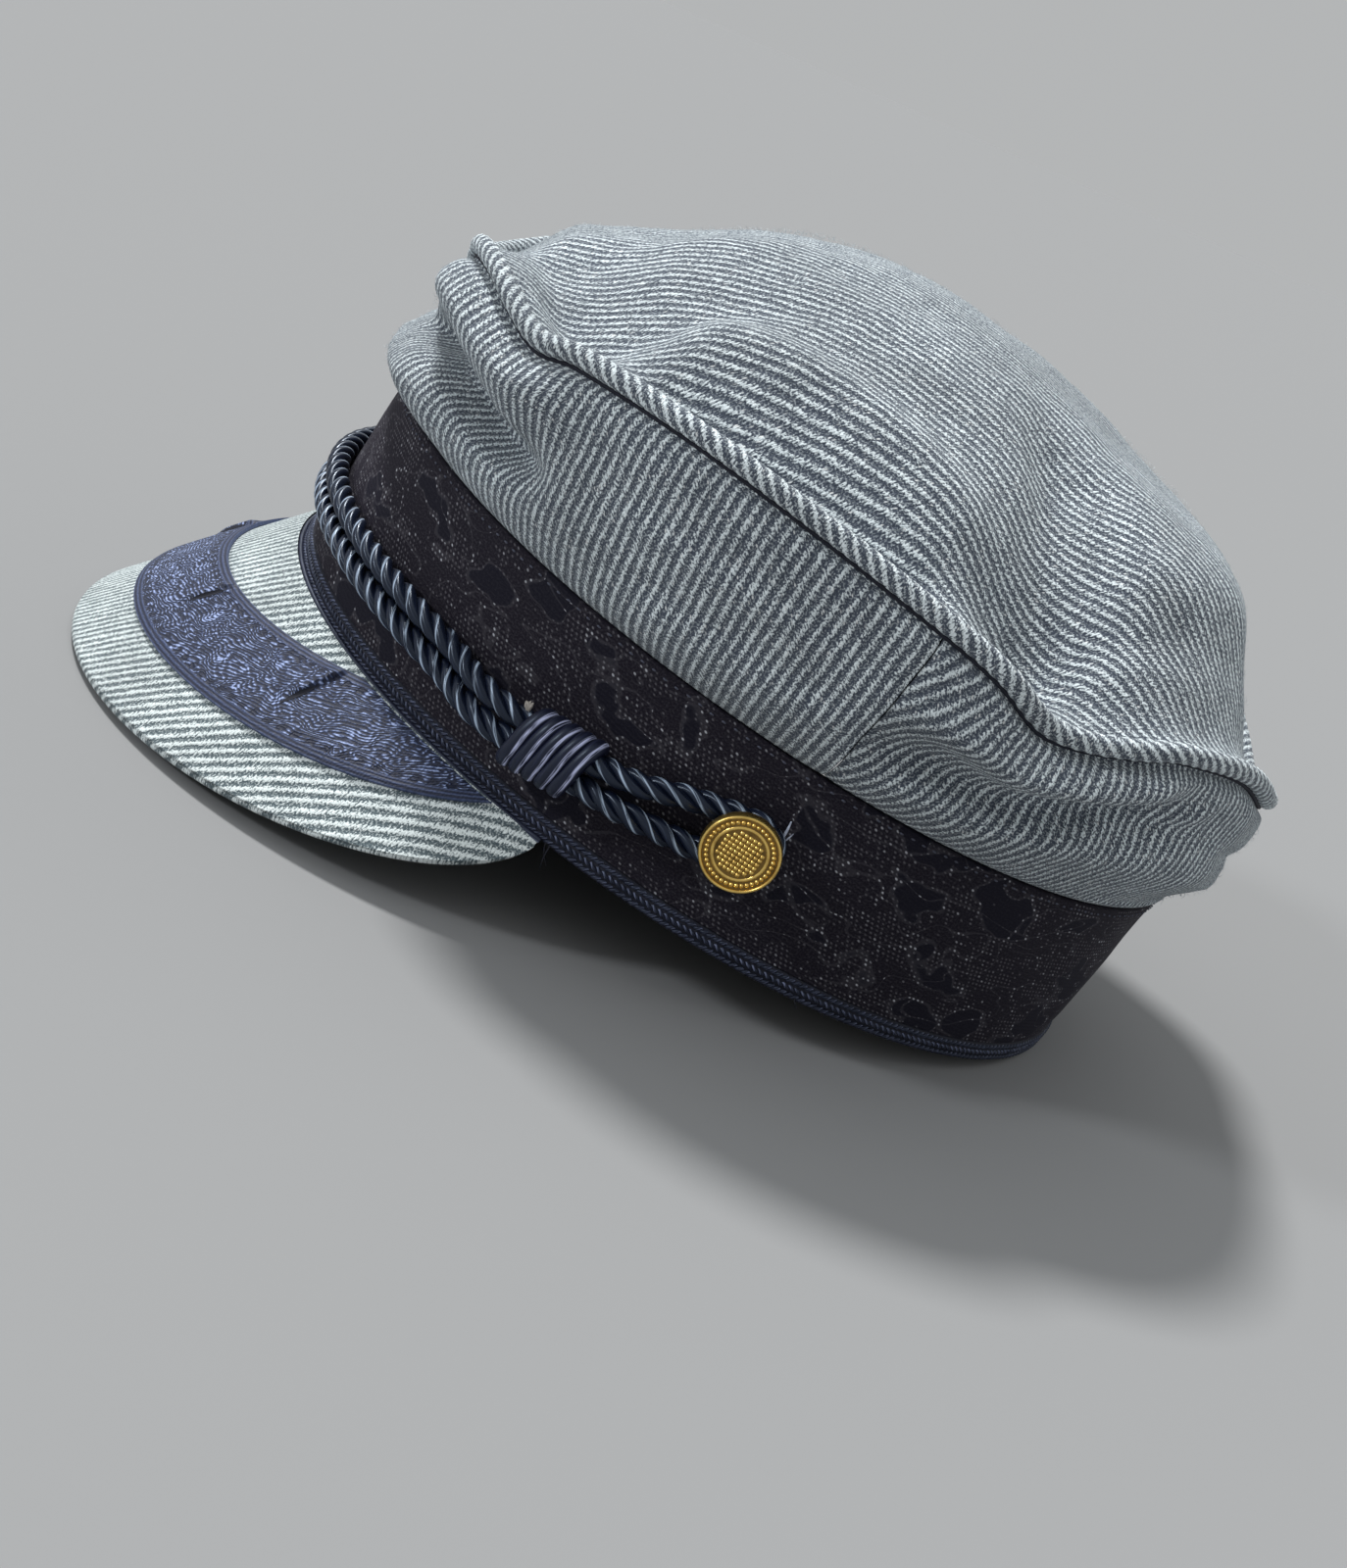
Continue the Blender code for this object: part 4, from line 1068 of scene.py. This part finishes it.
def make_knot(side, thread, pale_thread):
    """Turns of satin cord wound round both strands, and the cord's pale cut end above them."""
    half_angle = math.degrees(KNOT_LENGTH / 2 / BAND_HALF_LENGTH)
    wire, wraps, steps, sharp = 1.85, 5, 44, 0.80
    share = np.linspace(0, 1, steps * wraps + 1)
    turn = 2 * math.pi * wraps * share + math.pi
    margin = wire / KNOT_LENGTH
    along = margin + (1 - 2 * margin) * share
    aslant = 0.030 * np.sin(turn)
    angle = side * (KNOT_ANGLE + half_angle * (2 * (along + aslant) - 1))
    middle, half_gap = cord_middle(angle)
    reach = CORD_DIAMETER / 2 + KNOT_WRAP - wire * 0.92
    s, c = np.sin(turn), np.cos(turn)
    rise = np.sign(s) * (np.abs(s) ** sharp) * (half_gap + reach)
    out = np.sign(c) * (np.abs(c) ** sharp) * reach
    near = outward(angle) * out[:, None] + UP * rise[:, None]
    ends = ease(share * wraps * 5) * ease((1 - share) * wraps * 5)
    swell = wire * (0.25 + 0.75 * ends)[:, None]
    parts = [tube(middle + near, near, wire, 14, closed=False, squash=0.92, swell=swell)]
    start = side * (KNOT_ANGLE - half_angle * 0.92)
    middle, half_gap = cord_middle(start)
    ahead = outward(np.array(start))
    tip = middle + ahead * 1.6 + UP * (half_gap + CORD_DIAMETER / 2 + 0.9)
    fibres, thick = 9, 0.42
    for i in range(fibres):
        bend = 2.4 * i
        way = ahead * (0.35 + 0.075 * math.cos(bend)) + UP * (0.72 + 0.24 * math.sin(bend * 1.7))
        line = tip + np.linspace(-0.9, 1.5, 6)[:, None] * way
        line[:, 1] += 0.55 * math.cos(bend) * np.linspace(0.6, 1.4, 6)
        swell = thick * np.array([[1.0], [1.0], [0.9], [0.8], [0.6], [0.15]])
        parts.append(tube(line, ahead, thick, 5, closed=False, swell=swell))
    which = [0] + [1] * fibres
    name = "left" if side > 0 else "right"
    materials = [thread, pale_thread]
    return build(f"knot_{name}_wound", parts, materials, f"knot_{name}", which)


def turned(profile, steps, frame_of, x=0.0, y=0.0, phase=0.0):
    """A turned shape round a place: rows of radius and height, as a patch."""
    turn = 2 * math.pi * (np.arange(steps + 1) + phase) / steps
    rows, uv = [], []
    for radius, height in profile:
        px, py = x + radius * np.cos(turn), y + radius * np.sin(turn)
        rows.append(frame_of(px[:-1], py[:-1], np.full(steps, height)))
        uv.append(np.stack([px, py], -1))
    return patch(np.stack(rows), np.stack(uv), closed=True)


def stud(x, y, base, radius, height, sides, frame_of):
    """A small raised dot or a four-sided point."""
    profile = [(radius, base), (radius * 0.72, base + height * 0.62), (radius * 0.12, base + height)]
    return turned(profile, sides, frame_of, x, y, 0.5)


def make_button(side, metals):
    """A stamped button: a raised rim, a ring of beads and a field of small points."""
    radius, shank = BUTTON_DIAMETER / 2, BUTTON_SHANK_DIAMETER / 2
    back = CORD_DIAMETER + 2 * GAP
    front = back + BUTTON_THICKNESS
    angle = side * BUTTON_ANGLE
    axis = outward(np.array(angle))
    seat = band_point(angle, GAP, BUTTON_HEIGHT)
    across = np.cross(axis, UP)

    def at(x, y, h):
        return seat + across * x[:, None] + UP * y[:, None] + axis * h[:, None]

    field = front - 0.62
    profile = (
        (shank, 0.0), (shank, back), (radius * 0.90, back), (radius * 0.975, back + 0.5),
        (radius, back + 1.2), (radius, back + 2.2), (radius * 0.985, front - 0.45),
        (radius * 0.965, front - 0.14), (radius * 0.94, front - 0.06),
        (radius * 0.915, front - 0.18), (radius * 0.90, field), (radius * 0.70, field + 0.04),
        (radius * 0.675, field + 0.26), (radius * 0.645, field + 0.26),
        (radius * 0.62, field + 0.05), (radius * 0.3, field + 0.12), (0.02, field + 0.15),
    )
    bands = (profile[:11], profile[10:12], profile[11:15], profile[14:])
    parts = [turned(rows, 80, at) for rows in bands]
    beads, ring = 40, radius * 0.80
    for i in range(beads):
        turn = 2 * math.pi * i / beads
        parts.append(stud(ring * math.cos(turn), ring * math.sin(turn), field, 0.50, 0.42, 9, at))
    pitch, reach = 0.98, radius * 0.60
    count = int(reach / pitch) + 1
    for i in range(-count, count + 1):
        for j in range(-count, count + 1):
            x, y = i * pitch, j * pitch
            if math.hypot(x, y) < reach - 0.35:
                base = field + 0.13 - 0.10 * (math.hypot(x, y) / reach) ** 2
                parts.append(stud(x, y, base - 0.04, pitch * 0.62, 0.46, 4, at))
    which = [0, 1, 0, 1] + [0] * (len(parts) - 4)
    name = "left" if side > 0 else "right"
    return build(f"button_{name}_brass", parts, metals, f"button_{name}", which)


def make_stitches(thread):
    """A row of short stitches on the band, just under the crown."""
    count, thick = 232, 0.22
    parts = []
    for i in range(count):
        angles = 360.0 * (i + 0.5) / count + np.linspace(-0.27, 0.27, 5)
        line = band_point(angles, 0.12, BAND_HEIGHT - 1.5 + 0.12 * math.sin(i * 1.7))
        swell = thick * np.array([[0.35], [0.9], [1.0], [0.9], [0.35]])
        parts.append(tube(line, outward(angles), thick, 6, closed=False, swell=swell))
    return build("band_stitches", parts, [thread], None)


def make_loose_threads(pale, dark):
    """The pale thread end beside the button, and dark thread ends under the hem."""
    # Angle, distance out, height, run aside, rise, bow outwards, radius and material
    ends = (
        (104.9, 0.3, 28.4, -0.4, 5.4, 0.7, 0.34, 0),
        (105.1, 0.2, 28.6, 0.9, 3.2, 0.9, 0.22, 0),
        (85.2, 0.6, 0.6, 0.9, -5.6, 0.5, 0.13, 1),
        (84.6, 0.5, 0.6, 2.4, -4.2, 0.3, 0.12, 1),
        (83.9, 0.5, 0.6, -1.2, -2.8, 0.6, 0.11, 1),
        (118.0, 0.5, 0.8, 1.6, -2.0, 0.4, 0.11, 1),
    )
    parts, which = [], []
    share = np.linspace(0, 1, 9)
    for angle, proud, height, aside, rise, lift, radius, material in ends:
        turns = angle + np.degrees((aside * share**1.6) / BAND_HALF_WIDTH)
        line = band_point(turns, proud + lift * np.sin(math.pi * share), height + rise * share)
        taper = radius * (1.0 - 0.6 * share**3)[:, None]
        parts.append(tube(line, outward(turns), radius, 6, closed=False, swell=taper))
        which.append(material)
    return build("loose_threads", parts, [pale, dark], None, which)


def fibres_on(points, count, length, chance):
    """Short bent fibres that stand on a grid of points, as thin three-sided tapered tubes."""
    rows, columns = points.shape[:2]
    i, j = chance.integers(1, rows - 2, count), chance.integers(1, columns - 2, count)
    a, b = chance.random((count, 1)), chance.random((count, 1))
    root = points[i, j] * (1 - a) * (1 - b) + points[i + 1, j] * a * (1 - b)
    root += points[i, j + 1] * (1 - a) * b + points[i + 1, j + 1] * a * b
    normal = np.cross(points[i + 1, j] - points[i, j], points[i, j + 1] - points[i, j])
    size = np.linalg.norm(normal, axis=1, keepdims=True)
    keep = size[:, 0] > 0.05
    root, normal = root[keep], normal[keep] / size[keep]
    middle = np.array([0.0, 0.0, 45.0])
    normal *= np.sign(((root - middle) * normal).sum(1, keepdims=True))
    random = chance.normal(size=root.shape)
    aside = random - normal * (random * normal).sum(1, keepdims=True)
    aside /= np.linalg.norm(aside, axis=1, keepdims=True)
    across = np.cross(normal, aside)
    reach = length * (0.35 + chance.random((len(root), 1)) ** 2)
    bend = chance.normal(size=(len(root), 1)) * 0.4
    line = [
        root - normal * 0.05,
        root + (normal * 0.45 + aside * 0.35) * reach,
        root + (normal * 0.70 + aside * 0.95 + across * bend) * reach,
    ]
    rings = []
    for point, radius in zip(line, (0.045, 0.038, 0.015)):
        for turn in (0.0, 2.1, 4.2):
            rings.append(point + (across * math.cos(turn) + normal * math.sin(turn)) * radius)
    made = np.stack(rings, 1)
    level, this = np.meshgrid((0, 3), (0, 1, 2), indexing="ij")
    after = (this + 1) % 3
    one = np.stack([level + this, level + after, level + 3 + after, level + 3 + this], -1)
    starts = 9 * np.arange(len(made))
    quads = (starts[:, None, None, None] + one).reshape(-1, 4)
    flat = made.reshape(-1, 3)
    return flat, quads, flat[quads][..., :2]


def make_fuzz(pale):
    """The worn cloth's nap: fine fibres that stand off the crown."""
    chance = np.random.default_rng(7)
    angle, out = top_grid(121)
    parts = [fibres_on(top_point(angle, out), 7000, 1.1, chance)]
    up, turn = np.meshgrid(np.linspace(0.03, 0.96, 30), np.linspace(0, 360, 220), indexing="ij")
    parts.append(fibres_on(side_point(turn, up), 4000, 0.9, chance))
    return build("crown_nap", parts, [pale], None)


def main():
    """The camera and lights, then the materials, then the pieces."""
    make_camera()
    make_stage()
    light, dark = (0.80, 0.88, 0.91), (0.058, 0.072, 0.100)
    cloth = striped_cloth("ribbed_cloth", light, dark)
    piping_cloth = striped_cloth("ribbed_bias", light, dark, depth=0.4, width=0.41)
    visor_light, visor_dark = (0.76, 0.83, 0.83), (0.085, 0.115, 0.13)
    visor_cloth = striped_cloth("ribbed_visor", visor_light, visor_dark, period=2.3, width=0.36)
    band_cloth = dotted_jacquard(
        "band_jacquard",
        ground=(0.009, 0.0072, 0.0135),
        solid=(0.0068, 0.0064, 0.0135),
        thread=(0.100, 0.096, 0.11),
        bright=(0.50, 0.51, 0.56),
    )
    ribbon_cloth = brocade(
        "ribbon_brocade",
        dark=(0.009, 0.013, 0.034),
        middle=(0.080, 0.110, 0.225),
        pale=(0.42, 0.52, 0.84),
        width=RIBBON_WIDTH,
    )
    # Dark matt thread for the hem's ground and the dark loose threads, also used for painted shade:
    # the tube in the piping's seam gap and the patches in the ribbon's slits.
    dark_thread_and_painted_shade = plain_thread("dark_thread_and_painted_shade", (0.010, 0.012, 0.026))
    # The hem, cord and knot threads each get a painted highlight line along their crests.
    hem_thread = satin(
        "hem_thread",
        base=(0.012, 0.014, 0.030),
        pale=(0.09, 0.10, 0.16),
        size=0.3,
        gloss=0.42,
        streak=0.5,
        painted_highlight=(0.45, 0.40, (0.15, 0.17, 0.27)),
    )
    cord_thread = satin(
        "cord_thread",
        base=(0.005, 0.008, 0.020),
        pale=(0.018, 0.028, 0.065),
        painted_highlight=(0.55, 0.42, (0.42, 0.52, 0.66)),
    )
    knot_thread = satin(
        "knot_thread",
        base=(0.004, 0.005, 0.018),
        pale=(0.020, 0.024, 0.075),
        size=0.35,
        gloss=0.34,
        streak=0.5,
        painted_highlight=(0.95, 0.58, (0.60, 0.64, 0.92)),
    )
    stitch_thread = plain_thread("stitch_thread", (0.11, 0.12, 0.17))
    loose_thread = plain_thread("loose_thread", (0.62, 0.68, 0.85))
    nap_thread = plain_thread("nap_thread", (0.66, 0.73, 0.78))
    pale_thread = plain_thread("pale_thread", (0.50, 0.46, 0.42))
    metals = [
        brass("stamped_brass", (0.86, 0.60, 0.18), (0.56, 0.36, 0.10), 0.22),
        brass("dark_brass", (0.26, 0.16, 0.05), (0.14, 0.09, 0.03), 0.42),
    ]
    make_crown_top(cloth)
    make_side_panel("front", -SIDE_SEAM_ANGLE, SIDE_SEAM_ANGLE, 300, cloth)
    make_side_panel("back", SIDE_SEAM_ANGLE, 360 - SIDE_SEAM_ANGLE, 220, cloth)
    make_piping(piping_cloth, dark_thread_and_painted_shade)
    make_band(band_cloth)
    make_hem(dark_thread_and_painted_shade, hem_thread)
    make_visor(visor_cloth)
    make_ribbon(ribbon_cloth, dark_thread_and_painted_shade)
    make_cord(cord_thread)
    for side in (1, -1):
        make_knot(side, knot_thread, pale_thread)
        make_button(side, metals)
    make_stitches(stitch_thread)
    make_loose_threads(loose_thread, dark_thread_and_painted_shade)
    make_fuzz(nap_thread)


main()
